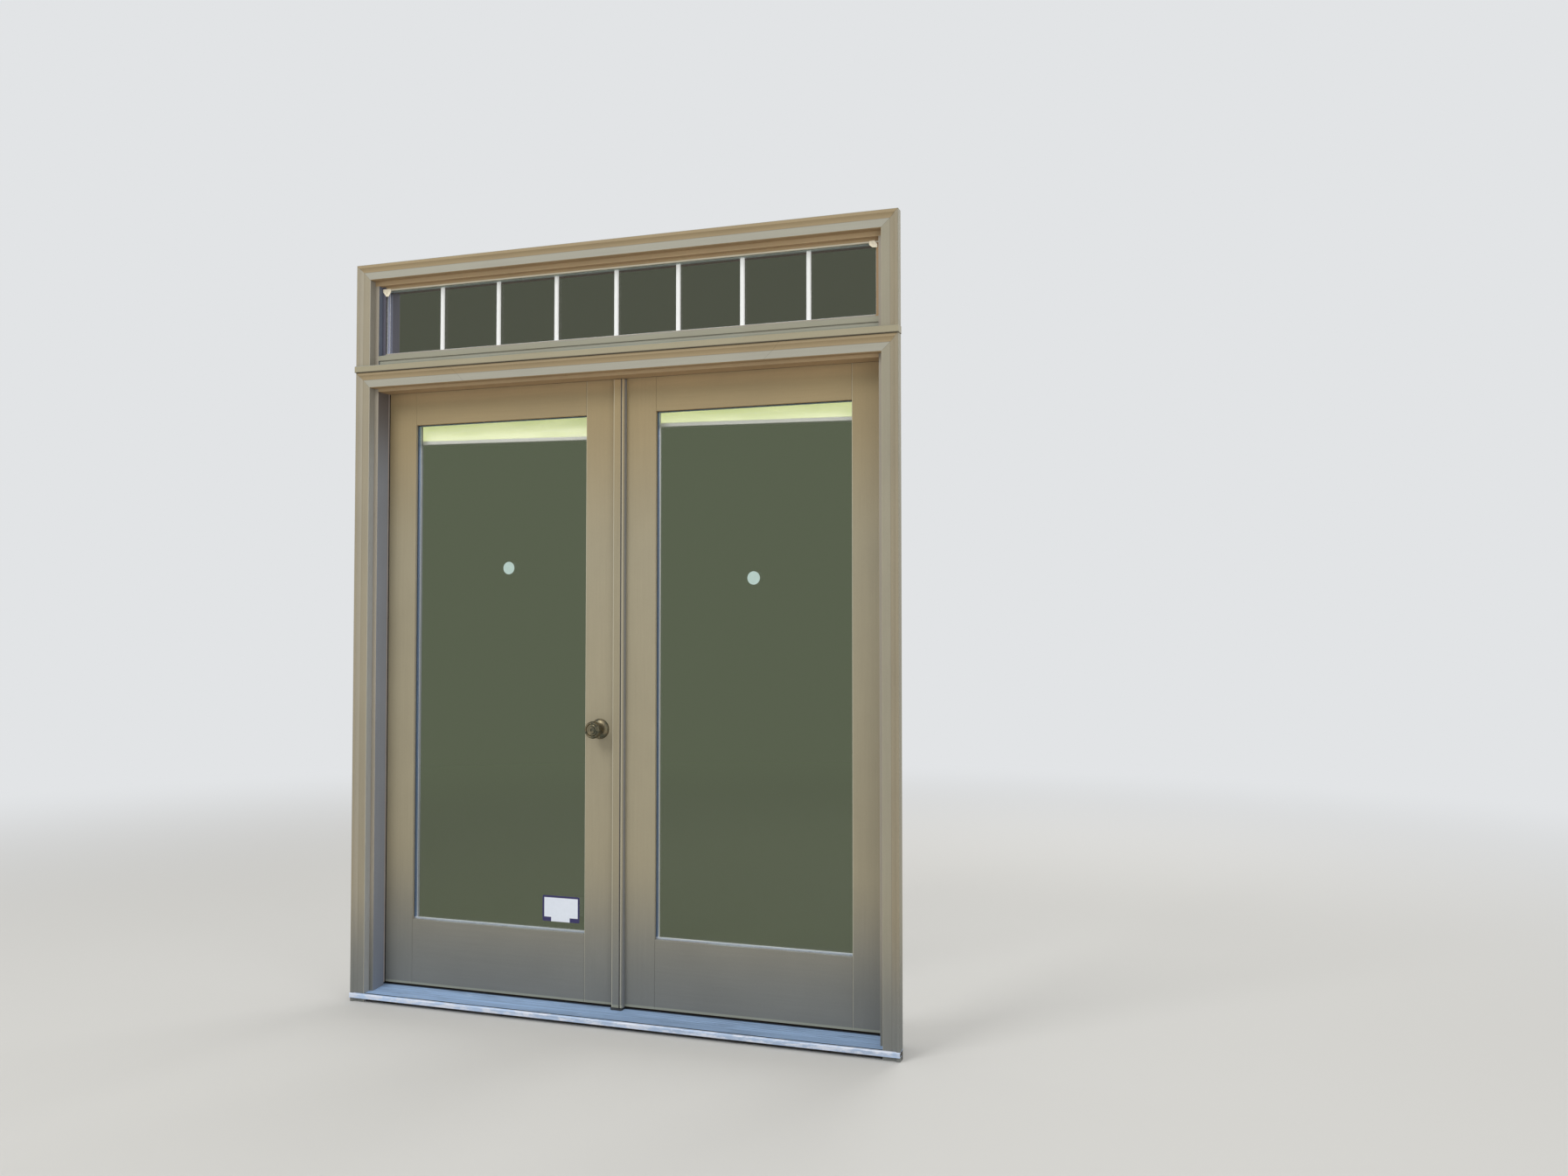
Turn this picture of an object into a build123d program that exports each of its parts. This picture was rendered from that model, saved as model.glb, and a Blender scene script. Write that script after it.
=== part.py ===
from build123d import *
import os

# Hinged pair of glazed doors in a timber frame, with a fixed transom light above.
# Millimetres. X runs along the wall, +Y into the house, +Z up.
# The origin is on the sill's underside, at mid width, in the plane of the wall's outer face.

# Door frame
frame_width = 1829.0
jamb_depth = 117.0
jamb_thickness = 30.0
rabbet_depth = 12.7
side_gap = 3.0
head_gap = 3.0
stop_gap = 12.5
seal_clearance = 0.3

# Sill
sill_front_height = 28.0
sill_rear_height = 38.5
sill_nose = 36.0
nose_height = 15.0
nose_overhang = 22.0
nose_round = 3.0
nose_seam = 25.0
seam_width = 3.0
seam_depth = 1.6
sill_skin = 2.5
tread_landing = 4.0
tread_groove = 1.0
tread_grooves = 5
tread_groove_pitch = 12.0
cap_width = 33.0
cap_channel = 8.5
cap_rise = 3.5
cap_setback = 4.0
cap_crown = 5.0
pad_width = 42.0
pad_depth = 22.0
pad_chamfer = 4.0

# Leaves
leaf_thickness = 44.5
leaf_height = 2032.0
leaf_undercut = 6.5
meeting_gap = 22.4
stile_width = 114.0
top_rail_height = 120.0
bottom_rail_height = 220.0
sticking_depth = 10.0
glass_rabbet = 9.0
edge_round = 1.5
joint_chamfer = 0.5
bead_chamfer = 5.0
sweep_width = 34.0

# Sealed glass units
pane_thickness = 3.0
cavity = 12.0
glass_bite = 7.0
spacer_sight = 3.0
spacer_width = 8.0

# Casing and drip cap
casing_width = 53.0
casing_reveal = 15.0
head_reveal = 10.0
casing_inner_edge = 29.0
casing_outer_edge = 32.0
casing_valley = 26.5
casing_slope = 27.0
casing_band = 10.0
drip_height = 22.7
drip_projection = 5.0
drip_overhang = 1.5
drip_fall = 2.5
drip_kerf_inset = 2.5
drip_kerf = 2.0

# Transom light
transom_sill_front = 37.0
transom_fascia = 21.0
transom_lip = 5.0
transom_wash = 6.0
transom_groove = 8.5
transom_opening = 244.5
transom_setback = 20.0
transom_stop_depth = 7.0
transom_inner_stop = 15.0
transom_stop_width = 12.5
bar_count = 7
bar_width = 14.0
bar_thickness = 8.0

# Corner clips on the transom's stops
left_clip = (31.0, 26.0)
right_clip = (25.0, 22.0)
clip_inset = 2.5
clip_drop = 7.0
clip_thickness = 2.0
clip_round = 2.0
clip_hole_radius = 1.6

# Astragal on the inactive leaf
astragal_left = 18.0
astragal_right = 21.0
astragal_flange = 18.5
astragal_stem = 19.0
astragal_seal = 2.0
astragal_drop = 1.5
astragal_head_gap = 2.0
astragal_bead = 11.0
astragal_quirk = 2.2

# Butt hinges
hinge_height = 102.0
hinge_plate_width = 36.0
hinge_plate_thickness = 2.3
knuckle_radius = 7.0
hinge_pin_radius = 3.95
pin_clearance = 0.03
knuckle_gap = 0.3
pin_stand_off = 7.3
hinge_top_inset = 178.0
hinge_bottom_inset = 279.0

# Knob set
backset = 60.3
knob_height = 930.0
face_bore_radius = 27.0
edge_bore_radius = 11.9
rose_radius = 33.0
rose_height = 9.0
rose_wall = 1.5
knob_radius = 28.0
knob_reach = 62.0
shank_radius = 11.0
spindle_radius = 7.0
turning_clearance = 0.08
plug_radius = 6.5
plug_length = 22.0
button_radius = 8.0
button_length = 9.0
button_bar = 22.0

# Latch and strike
latch_throw = 12.0
latch_nose_height = 16.0
latch_nose_thickness = 12.5
latch_clearance = 0.3
latch_tail_radius = 3.0
faceplate_height = 57.0
faceplate_width = 25.0
faceplate_thickness = 2.2

# Flush bolts
bolt_radius = 4.0
bolt_length = 190.0
bolt_throw = 14.0
bolt_clearance = 0.6
bolt_setback = 17.0
guide_height = 120.0
guide_width = 22.0
guide_thickness = 1.5
thumb_height = 12.0
thumb_width = 7.0
thumb_proud = 1.4

# Raised blinds on the inner faces
blind_overlap = 17.5
blind_over_light = 40.0
left_blind_hang = 62.0
right_blind_hang = 44.0
blind_rail = 25.0
blind_bottom_rail = 13.0
blind_pitch = 6.2
blind_pleat = 1.6


# Places worked out from the sizes
cap_front = jamb_depth - cap_setback - cap_width
sill_slope_end = cap_front - tread_landing
frame_half = frame_width / 2
jamb_face = frame_half - jamb_thickness
pocket_face = jamb_face + rabbet_depth
leaf_outer = pocket_face - side_gap
leaf_inner = meeting_gap / 2
leaf_front = jamb_depth - leaf_thickness
stop_face = leaf_front - stop_gap
leaf_bottom = sill_rear_height + leaf_undercut
leaf_top = leaf_bottom + leaf_height
pocket_head = leaf_top + head_gap
head_face = pocket_head - rabbet_depth
head_top = head_face + jamb_thickness
light_left = leaf_outer - stile_width
light_right = leaf_inner + stile_width
light_bottom = leaf_bottom + bottom_rail_height
light_top = leaf_top - top_rail_height
glass_front = leaf_front + sticking_depth
unit_thickness = 2 * pane_thickness + cavity
casing_inner = jamb_face + casing_reveal
casing_outer = casing_inner + casing_width
casing_head = head_face + head_reveal
drip_bottom = casing_head + casing_width
drip_top = drip_bottom + drip_height
wash_front = drip_top + transom_sill_front
wash_back = wash_front + transom_wash
transom_seat = wash_back - transom_groove
transom_head = transom_seat + transom_opening
transom_face = jamb_face - transom_stop_width
transom_light_bottom = transom_seat + transom_stop_width
transom_light_top = transom_head - transom_stop_width
transom_glass = transom_setback + transom_stop_depth
transom_back = transom_glass + unit_thickness
pin_x = (pocket_face + leaf_outer) / 2
pin_y = jamb_depth + pin_stand_off
hinge_middles = [
    leaf_bottom + hinge_bottom_inset + hinge_height / 2,
    (leaf_bottom + hinge_bottom_inset + leaf_top - hinge_top_inset) / 2,
    leaf_top - hinge_top_inset - hinge_height / 2,
]
knob_x = -leaf_inner - backset
leaf_middle = leaf_front + leaf_thickness / 2
stem_left = leaf_inner - astragal_stem
bolt_x = (stem_left + leaf_inner) / 2
bolt_y = jamb_depth - bolt_setback

parts = {}


def block(x0, x1, y0, y1, z0, z1):
    """A straight piece of timber or plate between two corners."""
    middle = ((x0 + x1) / 2, (y0 + y1) / 2, (z0 + z1) / 2)
    return Pos(*middle) * Box(abs(x1 - x0), abs(y1 - y0), abs(z1 - z0))


def upright(outline, z0, z1):
    """A closed outline in plan, run up from z0 to z1."""
    face = make_face(outline)
    return extrude(Pos(0, 0, z0) * face, z1 - z0, dir=(0, 0, 1))


def level(outline, x0, x1):
    """A closed outline in section, as (y, z), run along the wall from x0 to x1."""
    face = make_face(outline)
    return extrude(Plane.YZ.offset(x0) * face, x1 - x0, dir=(1, 0, 0))


def loop_of(*points):
    """A closed run of straight lines."""
    return Polyline(*points, close=True)


def rod(radius, start, end, axis="Z"):
    """A round bar from start to the same point moved along one axis to end."""
    x, y, z = start
    if axis == "X":
        return Pos((x + end) / 2, y, z) * Rot(0, 90, 0) * Cylinder(radius, abs(end - x))
    if axis == "Y":
        return Pos(x, (y + end) / 2, z) * Rot(90, 0, 0) * Cylinder(radius, abs(end - y))
    return Pos(x, y, (z + end) / 2) * Cylinder(radius, abs(end - z))


def twin(shape):
    """The same piece on the other side of the middle."""
    return mirror(shape, about=Plane.YZ)


def mitred_sticks(x0, x1, z0, z1, y0, y1, sides, bottom, top, chamfer_inner=0.0):
    """Four sticks round a light, mitred at the corners: left, right, bottom and top."""
    corners = [(x0, z0), (x1, z0), (x1, z1), (x0, z1)]
    inner = [
        (x0 + sides, z0 + bottom),
        (x1 - sides, z0 + bottom),
        (x1 - sides, z1 - top),
        (x0 + sides, z1 - top),
    ]
    sticks = []
    for i in range(4):
        j = (i + 1) % 4
        face = make_face(loop_of(corners[i], corners[j], inner[j], inner[i]))
        stick = extrude(Plane.XZ.offset(-y0) * face, y1 - y0, dir=(0, 1, 0))
        if chamfer_inner:
            ends = [inner[i], inner[j]]
            a, b = [Vector(p[0], y1, p[1]) for p in ends]
            edge = min(stick.edges(), key=lambda e: (e.center() - (a + b) / 2).length)
            stick = chamfer(edge, chamfer_inner)
        sticks.append(stick)
    return sticks


# Sill: aluminium cladding over a base, with a channel for the threshold's cap


def sill_outline(shrink):
    """The sill's section: overhanging nose, sloping tread, channel and back.
    shrink gives the base under the cladding."""
    front = -sill_nose + shrink
    back = jamb_depth - shrink
    top = sill_rear_height - shrink
    channel_back = jamb_depth - cap_setback + shrink
    channel_front = cap_front - shrink
    channel_floor = top - cap_channel
    nose_top = sill_front_height - shrink
    nose_foot = sill_front_height - nose_height + shrink
    foot = -sill_nose + nose_overhang
    outline = [(foot, 0), (foot, nose_foot), (front, nose_foot)]
    outline += [(front, nose_top - nose_round), (front + nose_round, nose_top)]
    outline += [(sill_slope_end, top), (channel_front, top), (channel_front, channel_floor)]
    if channel_back < back:
        outline += [(channel_back, channel_floor), (channel_back, top), (back, top)]
    else:
        outline += [(back, channel_floor)]
    outline += [(back, 0)]
    return loop_of(*outline)


def tread_height(y):
    """The height of the sloping tread at a distance from the wall's outer face."""
    start = -sill_nose + nose_round
    rise = sill_rear_height - sill_front_height
    return sill_front_height + rise * (y - start) / (sill_slope_end - start)


def sill_envelope(reach, shrink=0.0):
    """The solid shape of the sill, which whatever stands on it is cut to."""
    return level(sill_outline(shrink), -reach, reach)


def between_jambs(shape):
    """Cut a sill to pass between the jambs, leaving its horns in front of them."""
    for side in (-1, 1):
        far = side * (casing_outer + 1)
        shape -= block(side * jamb_face, far, 0, stop_face, -1, sill_rear_height + 1)
        shape -= block(side * pocket_face, far, stop_face - 1, jamb_depth + 1, -1, sill_rear_height + 1)
    return shape


def make_sill():
    """The cladding: bent over the base, grooved along its tread, with a seam behind its nose."""
    sill = sill_envelope(casing_outer) - sill_envelope(casing_outer + 1, sill_skin)
    first = (sill_slope_end - (tread_grooves - 1) * tread_groove_pitch) / 2
    for i in range(tread_grooves):
        y = first + tread_groove_pitch * i
        floor = tread_height(y) - tread_groove
        cut = loop_of(
            (y, floor),
            (y + 2 * tread_groove, floor + 2 * tread_groove),
            (y - tread_groove, floor + 2 * tread_groove),
        )
        sill -= level(cut, -casing_outer - 1, casing_outer + 1)
    floor = tread_height(-nose_seam) - seam_depth
    seam = loop_of(
        (-nose_seam - seam_width / 2, floor + 2 * seam_depth),
        (-nose_seam - seam_width / 2, floor),
        (-nose_seam + seam_width / 2, floor),
        (-nose_seam + seam_width / 2, floor + 2 * seam_depth),
    )
    sill -= level(seam, -casing_outer - 1, casing_outer + 1)
    return between_jambs(sill)


def make_threshold_cap():
    """A crowned strip in the sill's channel, which the leaves' sweeps close on."""
    y0 = cap_front
    y1 = jamb_depth - cap_setback
    z0 = sill_rear_height - cap_channel
    z1 = sill_rear_height + cap_rise
    outline = loop_of(
        (y0, z0),
        (y0, sill_rear_height),
        (y0 + cap_crown, z1),
        (y1 - cap_crown, z1),
        (y1, sill_rear_height),
        (y1, z0),
    )
    cap = level(outline, -pocket_face, pocket_face)
    cap -= rod(bolt_radius + bolt_clearance, (bolt_x, bolt_y, z0 - 1), z1 + 1)
    cap -= strike_blank(z1 - guide_thickness, z1 + 1)
    return cap


def strike_blank(z0, z1):
    """The plate that a flush bolt shoots into, before its hole."""
    reach = bolt_radius + bolt_clearance + 4
    return block(bolt_x - 2 * reach, bolt_x + 2 * reach, bolt_y - reach, bolt_y + reach, z0, z1)


def make_bolt_strikes():
    """One plate let into the head and one into the threshold cap."""
    hole = bolt_radius + bolt_clearance
    plates = []
    for z0 in (pocket_head, sill_rear_height + cap_rise - guide_thickness):
        plate = strike_blank(z0, z0 + guide_thickness)
        plates.append(plate - rod(hole, (bolt_x, bolt_y, z0 - 1), z0 + guide_thickness + 1))
    return plates


def make_meeting_pad():
    """A soft block on the tread, under the foot of the astragal, cut to the slope that it lies on."""
    top = leaf_bottom - astragal_drop - seal_clearance
    y1 = leaf_front
    pad = block(-pad_width / 2, pad_width / 2, y1 - pad_depth, y1, sill_front_height, top)
    corners = pad.edges().filter_by(Axis.Z).group_by(Axis.Y)[0]
    pad = chamfer(corners, pad_chamfer)
    return pad - sill_envelope(pad_width)


parts["sill"] = make_sill()
parts["sill_base"] = between_jambs(sill_envelope(casing_outer, sill_skin))
parts["threshold_cap"] = make_threshold_cap()
parts["meeting_pad"] = make_meeting_pad()
parts["bolt_strikes"] = make_bolt_strikes()


# Timber door frame


def hinge_mortise(x0, x1, z):
    """The recess for one hinge plate."""
    half = hinge_height / 2
    return block(x0, x1, jamb_depth - hinge_plate_width, jamb_depth + 1, z - half, z + half)


def make_jamb():
    """The left jamb: one board with a rabbet for the leaf, down to the floor beside the sill."""
    outline = loop_of(
        (-frame_half, 0),
        (-jamb_face, 0),
        (-jamb_face, stop_face),
        (-pocket_face, stop_face),
        (-pocket_face, jamb_depth),
        (-frame_half, jamb_depth),
    )
    jamb = upright(outline, 0, head_top)
    rounds = jamb.edges().filter_by(Axis.Z).filter_by_position(Axis.X, -jamb_face - 0.1, -jamb_face + 0.1)
    jamb = fillet(rounds, edge_round)
    for z in hinge_middles:
        jamb -= hinge_mortise(-pocket_face - hinge_plate_thickness, -pocket_face, z)
    return jamb


def make_head_jamb():
    """The head: the same rabbeted board between the jambs."""
    outline = loop_of(
        (0, head_face),
        (stop_face, head_face),
        (stop_face, pocket_head),
        (jamb_depth, pocket_head),
        (jamb_depth, head_top),
        (0, head_top),
    )
    head = level(outline, -pocket_face, pocket_face)
    for side in (-1, 1):
        head -= block(side * jamb_face, side * (pocket_face + 1), -1, stop_face, head_face - 1, head_top + 1)
    head -= rod(bolt_radius + bolt_clearance, (bolt_x, bolt_y, pocket_head - 1), pocket_head + bolt_throw)
    head -= strike_blank(pocket_head - 1, pocket_head + guide_thickness)
    return head


def make_weatherstrips():
    """Compression strips on the stops: left, right and head."""
    y0, y1 = stop_face, leaf_front - seal_clearance
    left = block(-pocket_face, -jamb_face - 2, y0, y1, leaf_bottom, pocket_head)
    head = block(-pocket_face + rabbet_depth, pocket_face - rabbet_depth, y0, y1, head_face + 2, pocket_head)
    return [left, twin(left), head]


left_jamb = make_jamb()
parts["left_jamb"] = left_jamb
parts["right_jamb"] = twin(left_jamb)
parts["head_jamb"] = make_head_jamb()
parts["weatherstrips"] = make_weatherstrips()


# Casing round the doors and the transom


def casing_section(place):
    """The moulding's section, from its inner edge out: a sloping face, a cove and a thick outer band.
    place(u, t) turns a distance from the inner edge and one from the wall into a point."""
    band = casing_width - casing_band
    inner = [
        (0, 0),
        (0, casing_inner_edge - edge_round),
        (edge_round, casing_inner_edge),
        (casing_slope, casing_valley),
    ]
    outer = [
        (band, casing_outer_edge),
        (casing_width - edge_round, casing_outer_edge),
        (casing_width, casing_outer_edge - edge_round),
        (casing_width, 0),
        (0, 0),
    ]
    hollow = (casing_outer_edge - casing_valley) / 4
    cove = ThreePointArc(
        place(casing_slope, casing_valley),
        place((casing_slope + band) / 2 + hollow, casing_valley + hollow),
        place(band, casing_outer_edge),
    )
    lines = [Line(place(*a), place(*b)) for run in (inner, outer) for a, b in zip(run, run[1:])]
    return lines + [cove]


def casing_leg(z0, z1):
    """The left leg, cut at 45 degrees at its top, where its inner edge is at z1."""
    outline = casing_section(lambda u, t: (-casing_inner - u, -t))
    leg = upright(outline, z0, z1 + casing_width)
    deep = 4 * casing_outer_edge
    waste = make_face(
        loop_of(
            (-casing_inner, z1),
            (-casing_outer - 1, z1 + casing_width + 1),
            (-casing_inner, z1 + casing_width + 1),
        )
    )
    return leg - extrude(Plane.XZ.offset(-deep / 2) * waste, deep, dir=(0, -1, 0))


def casing_head_piece(z):
    """The head moulding, cut at 45 degrees at both ends, with its inner edge at z."""
    head = level(casing_section(lambda u, t: (-t, z + u)), -casing_outer, casing_outer)
    deep = 4 * casing_outer_edge
    keep = make_face(
        loop_of(
            (-casing_inner, z),
            (casing_inner, z),
            (casing_outer, z + casing_width),
            (-casing_outer, z + casing_width),
        )
    )
    return head & extrude(Plane.XZ.offset(-deep / 2) * keep, deep, dir=(0, -1, 0))


def make_drip_cap():
    """A weathered strip over the door's head casing, under the transom's."""
    front = -casing_outer_edge - drip_projection
    kerf = front + drip_kerf_inset
    outline = loop_of(
        (0, drip_bottom),
        (0, drip_top),
        (-casing_outer_edge, drip_top),
        (front, drip_top - drip_fall),
        (front, drip_bottom),
        (kerf, drip_bottom),
        (kerf, drip_bottom + drip_kerf),
        (kerf + drip_kerf, drip_bottom + drip_kerf),
        (kerf + drip_kerf, drip_bottom),
    )
    return level(outline, -casing_outer - drip_overhang, casing_outer + drip_overhang)


left_casing = casing_leg(0, casing_head) - sill_envelope(casing_outer + 1)
parts["left_casing"] = left_casing
parts["right_casing"] = twin(left_casing)
parts["head_casing"] = casing_head_piece(casing_head)
parts["drip_cap"] = make_drip_cap()
left_transom_casing = casing_leg(drip_top, transom_head + casing_reveal)
parts["transom_left_casing"] = left_transom_casing
parts["transom_right_casing"] = twin(left_transom_casing)
parts["transom_head_casing"] = casing_head_piece(transom_head + casing_reveal)


# Transom frame


def make_transom_sill():
    """The timber between the doors and the transom: a fascia under a lip, a wash, then the glass's seat."""
    fascia_top = drip_top + transom_fascia
    outline = loop_of(
        (0, head_top),
        (0, drip_top),
        (transom_lip, drip_top),
        (transom_lip, fascia_top),
        (0, fascia_top),
        (0, wash_front),
        (transom_setback, wash_back),
        (transom_setback, transom_seat),
        (jamb_depth, transom_seat),
        (jamb_depth, head_top),
    )
    return level(outline, -jamb_face, jamb_face)


def make_transom_stops(y0, depth):
    """The sticks that hold the transom's glass, on one side of it, mitred at the corners."""
    width = transom_stop_width
    box = (-jamb_face, jamb_face, transom_seat, transom_head)
    return mitred_sticks(*box, y0, y0 + depth, width, width, width)


def make_corner_clips():
    """Two small moulded clips on the front of the stops, one over each upper corner of the glass."""
    top = transom_head - clip_drop
    y0 = transom_setback - clip_thickness
    width, height = left_clip
    x0 = -jamb_face + clip_inset
    tip = loop_of(
        (x0, top),
        (x0 + width, top),
        (x0 + width, top - height * 0.45),
        (x0 + width * 0.7, top - height),
        (x0 + width * 0.42, top - height),
        (x0, top - height * 0.4),
    )
    left = extrude(Plane.XZ.offset(-y0) * make_face(tip), clip_thickness, dir=(0, 1, 0))
    left = fillet(left.edges().filter_by(Axis.Y), clip_round)
    hole = (x0 + width / 2, y0 - 1, top - height * 0.6)
    left -= rod(clip_hole_radius, hole, y0 + clip_thickness + 1, "Y")
    width, height = right_clip
    x1 = jamb_face - clip_inset - left_clip[0] + width
    body = loop_of(
        (x1 - width, top - 1),
        (x1 - width * 0.35, top),
        (x1, top - height * 0.55),
        (x1, top - height),
        (x1 - width * 0.6, top - height * 0.95),
        (x1 - width, top - height * 0.6),
    )
    right = extrude(Plane.XZ.offset(-y0) * make_face(body), clip_thickness, dir=(0, 1, 0))
    right = fillet(right.edges().filter_by(Axis.Y), clip_round)
    return [left, right]


left_board = block(-frame_half, -jamb_face, 0, jamb_depth, head_top, transom_head)
parts["transom_side_jambs"] = [left_board, twin(left_board)]
parts["transom_head_jamb"] = block(
    -frame_half, frame_half, 0, jamb_depth, transom_head, transom_head + jamb_thickness
)
parts["transom_sill"] = make_transom_sill()
parts["transom_outer_stops"] = make_transom_stops(transom_setback, transom_stop_depth)
parts["transom_inner_stops"] = make_transom_stops(transom_back, transom_inner_stop)
parts["corner_clips"] = make_corner_clips()


# Sealed glass units


def panes(x0, x1, z0, z1, y):
    """The outer and the inner sheet of one unit, over a light of that size."""
    bite = glass_bite
    sheets = []
    for y0 in (y, y + pane_thickness + cavity):
        sheets.append(block(x0 - bite, x1 + bite, y0, y0 + pane_thickness, z0 - bite, z1 + bite))
    return sheets


def spacer(x0, x1, z0, z1, y):
    """The metal frame between the sheets, just in sight round the light."""
    y0, y1 = y + pane_thickness, y + pane_thickness + cavity
    out = spacer_width - spacer_sight
    inward = spacer_sight
    ring = block(x0 - out, x1 + out, y0, y1, z0 - out, z1 + out)
    return ring - block(x0 + inward, x1 - inward, y0 - 1, y1 + 1, z0 + inward, z1 - inward)


def make_transom_bars():
    """The upright bars between the sheets, evenly spaced."""
    pitch = 2 * transom_face / (bar_count + 1)
    middle = transom_glass + unit_thickness / 2
    bars = []
    for i in range(bar_count):
        x = -transom_face + pitch * (i + 1)
        bar = block(
            x - bar_width / 2,
            x + bar_width / 2,
            middle - bar_thickness / 2,
            middle + bar_thickness / 2,
            transom_light_bottom + spacer_sight,
            transom_light_top - spacer_sight,
        )
        bars.append(chamfer(bar.edges().filter_by(Axis.Z), bar_thickness / 4))
    return bars


transom_light = (-transom_face, transom_face, transom_light_bottom, transom_light_top, transom_glass)
parts["transom_panes"] = panes(*transom_light)
parts["transom_spacer"] = spacer(*transom_light)
parts["transom_bars"] = make_transom_bars()


# Leaves, built as the left one; the right one is its twin


def leaf_outer_stile():
    """The stile that carries the hinges, rabbeted for the glass."""
    outline = loop_of(
        (-leaf_outer, leaf_front),
        (-light_left, leaf_front),
        (-light_left, glass_front),
        (-light_left - glass_rabbet, glass_front),
        (-light_left - glass_rabbet, jamb_depth),
        (-leaf_outer, jamb_depth),
    )
    stile = upright(outline, leaf_bottom, leaf_top)
    for z in hinge_middles:
        stile -= hinge_mortise(-leaf_outer, -leaf_outer + hinge_plate_thickness, z)
    return stile


def leaf_inner_stile():
    """The stile at the middle of the doorway, rabbeted for the glass."""
    outline = loop_of(
        (-leaf_inner, leaf_front),
        (-light_right, leaf_front),
        (-light_right, glass_front),
        (-light_right + glass_rabbet, glass_front),
        (-light_right + glass_rabbet, jamb_depth),
        (-leaf_inner, jamb_depth),
    )
    return upright(outline, leaf_bottom, leaf_top)


def leaf_rail(z0, z1, light_above):
    """A rail between the stiles, with its ends let into their rabbets."""
    x0, x1 = -light_left, -light_right
    shoulder = z1 - glass_rabbet if light_above else z0 + glass_rabbet
    front = block(x0, x1, leaf_front, glass_front, z0, z1)
    ends = front.edges().filter_by(Axis.Z).group_by(Axis.Y)[0]
    front = chamfer(ends, joint_chamfer)
    low, high = (z0, shoulder) if light_above else (shoulder, z1)
    return front + block(x0 - glass_rabbet, x1 + glass_rabbet, glass_front, jamb_depth, low, high)


def ease_light_edge(piece, where):
    """Round the sharp outer edge of the light, as painters leave it."""
    edge = min(piece.edges(), key=lambda e: (e.center() - Vector(*where)).length)
    return fillet(edge, edge_round)


def lock_bores(stile):
    """Holes for the knob set and the latch, and the recess for the latch's plate."""
    stile -= rod(face_bore_radius, (knob_x, leaf_front - 1, knob_height), jamb_depth + 1, "Y")
    stile -= rod(edge_bore_radius, (knob_x, leaf_middle, knob_height), -leaf_inner + 1, "X")
    stile -= plate_blank(-leaf_inner - faceplate_thickness, -leaf_inner + 1)
    return stile


def upright_slab(x0, x1, half_y, half_z):
    """A block at the latch's height, in the middle of the leaf's thickness."""
    y, z = leaf_middle, knob_height
    return block(x0, x1, y - half_y, y + half_y, z - half_z, z + half_z)


def plate_blank(x0, x1):
    """The upright plate of the latch or its strike, before its hole."""
    return upright_slab(x0, x1, faceplate_width / 2, faceplate_height / 2)


def make_beads():
    """The inner beads that hold the glass in a leaf."""
    return mitred_sticks(
        -light_left - glass_rabbet,
        -light_right + glass_rabbet,
        light_bottom - glass_rabbet,
        light_top + glass_rabbet,
        glass_front + unit_thickness,
        jamb_depth,
        glass_rabbet,
        glass_rabbet,
        glass_rabbet,
        bead_chamfer,
    )


def make_sweep():
    """The soft strip under a leaf."""
    z0 = sill_rear_height + cap_rise + seal_clearance
    y1 = jamb_depth - cap_setback / 2
    return block(-leaf_outer + 1, -leaf_inner - 1, y1 - sweep_width, y1, z0, leaf_bottom)


def make_blind(hang):
    """A drawn-up pleated blind on the leaf's inner face: head rail, gathered pleats and bottom rail."""
    x0, x1 = -light_left - blind_overlap, -light_right + blind_overlap
    y0, y1 = jamb_depth, jamb_depth + blind_rail
    blind_top = light_top + blind_over_light
    top_of_stack = blind_top - blind_rail
    foot_of_stack = light_top - hang + blind_bottom_rail
    head_rail = block(x0, x1, y0, y1, top_of_stack, blind_top)
    head_rail = fillet(head_rail.edges().filter_by(Axis.X).group_by(Axis.Y)[-1], 2 * edge_round)
    back, front = y0 + 1, y1 - 1
    count = round((top_of_stack - foot_of_stack) / blind_pitch)
    step = (top_of_stack - foot_of_stack) / count
    outline = [(back, top_of_stack)]
    for i in range(count):
        z = top_of_stack - i * step
        outline += [(front - blind_pleat, z), (front, z - step / 2)]
    outline += [(front - blind_pleat, foot_of_stack), (back, foot_of_stack)]
    stack = level(loop_of(*outline), x0 + 5, x1 - 5)
    bottom_rail = block(x0 + 4, x1 - 4, back, front, foot_of_stack - blind_bottom_rail, foot_of_stack)
    return [head_rail, stack, bottom_rail]


def make_leaf():
    """The pieces of one leaf that both leaves share."""
    middle_x = -(light_left + light_right) / 2
    middle_z = (leaf_bottom + leaf_top) / 2
    top_rail = leaf_rail(light_top, leaf_top, False)
    bottom_rail = leaf_rail(leaf_bottom, light_bottom, True)
    light = (-light_left, -light_right, light_bottom, light_top, glass_front)
    return {
        "hinge_stile": ease_light_edge(leaf_outer_stile(), (-light_left, leaf_front, middle_z)),
        "inner_stile": ease_light_edge(leaf_inner_stile(), (-light_right, leaf_front, middle_z)),
        "top_rail": ease_light_edge(top_rail, (middle_x, leaf_front, light_top)),
        "bottom_rail": ease_light_edge(bottom_rail, (middle_x, leaf_front, light_bottom)),
        "inner_beads": make_beads(),
        "panes": panes(*light),
        "spacer": spacer(*light),
        "sweep": make_sweep(),
    }


leaf = make_leaf()
for name, pieces in leaf.items():
    many = isinstance(pieces, list)
    if name == "inner_stile":
        parts["left_lock_stile"] = lock_bores(pieces)
        parts["right_meeting_stile"] = twin(pieces)
    else:
        parts["left_" + name] = pieces
        parts["right_" + name] = [twin(p) for p in pieces] if many else twin(pieces)
parts["left_blind"] = make_blind(left_blind_hang)
parts["right_blind"] = [twin(p) for p in make_blind(right_blind_hang)]


# Astragal on the inactive leaf


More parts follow.
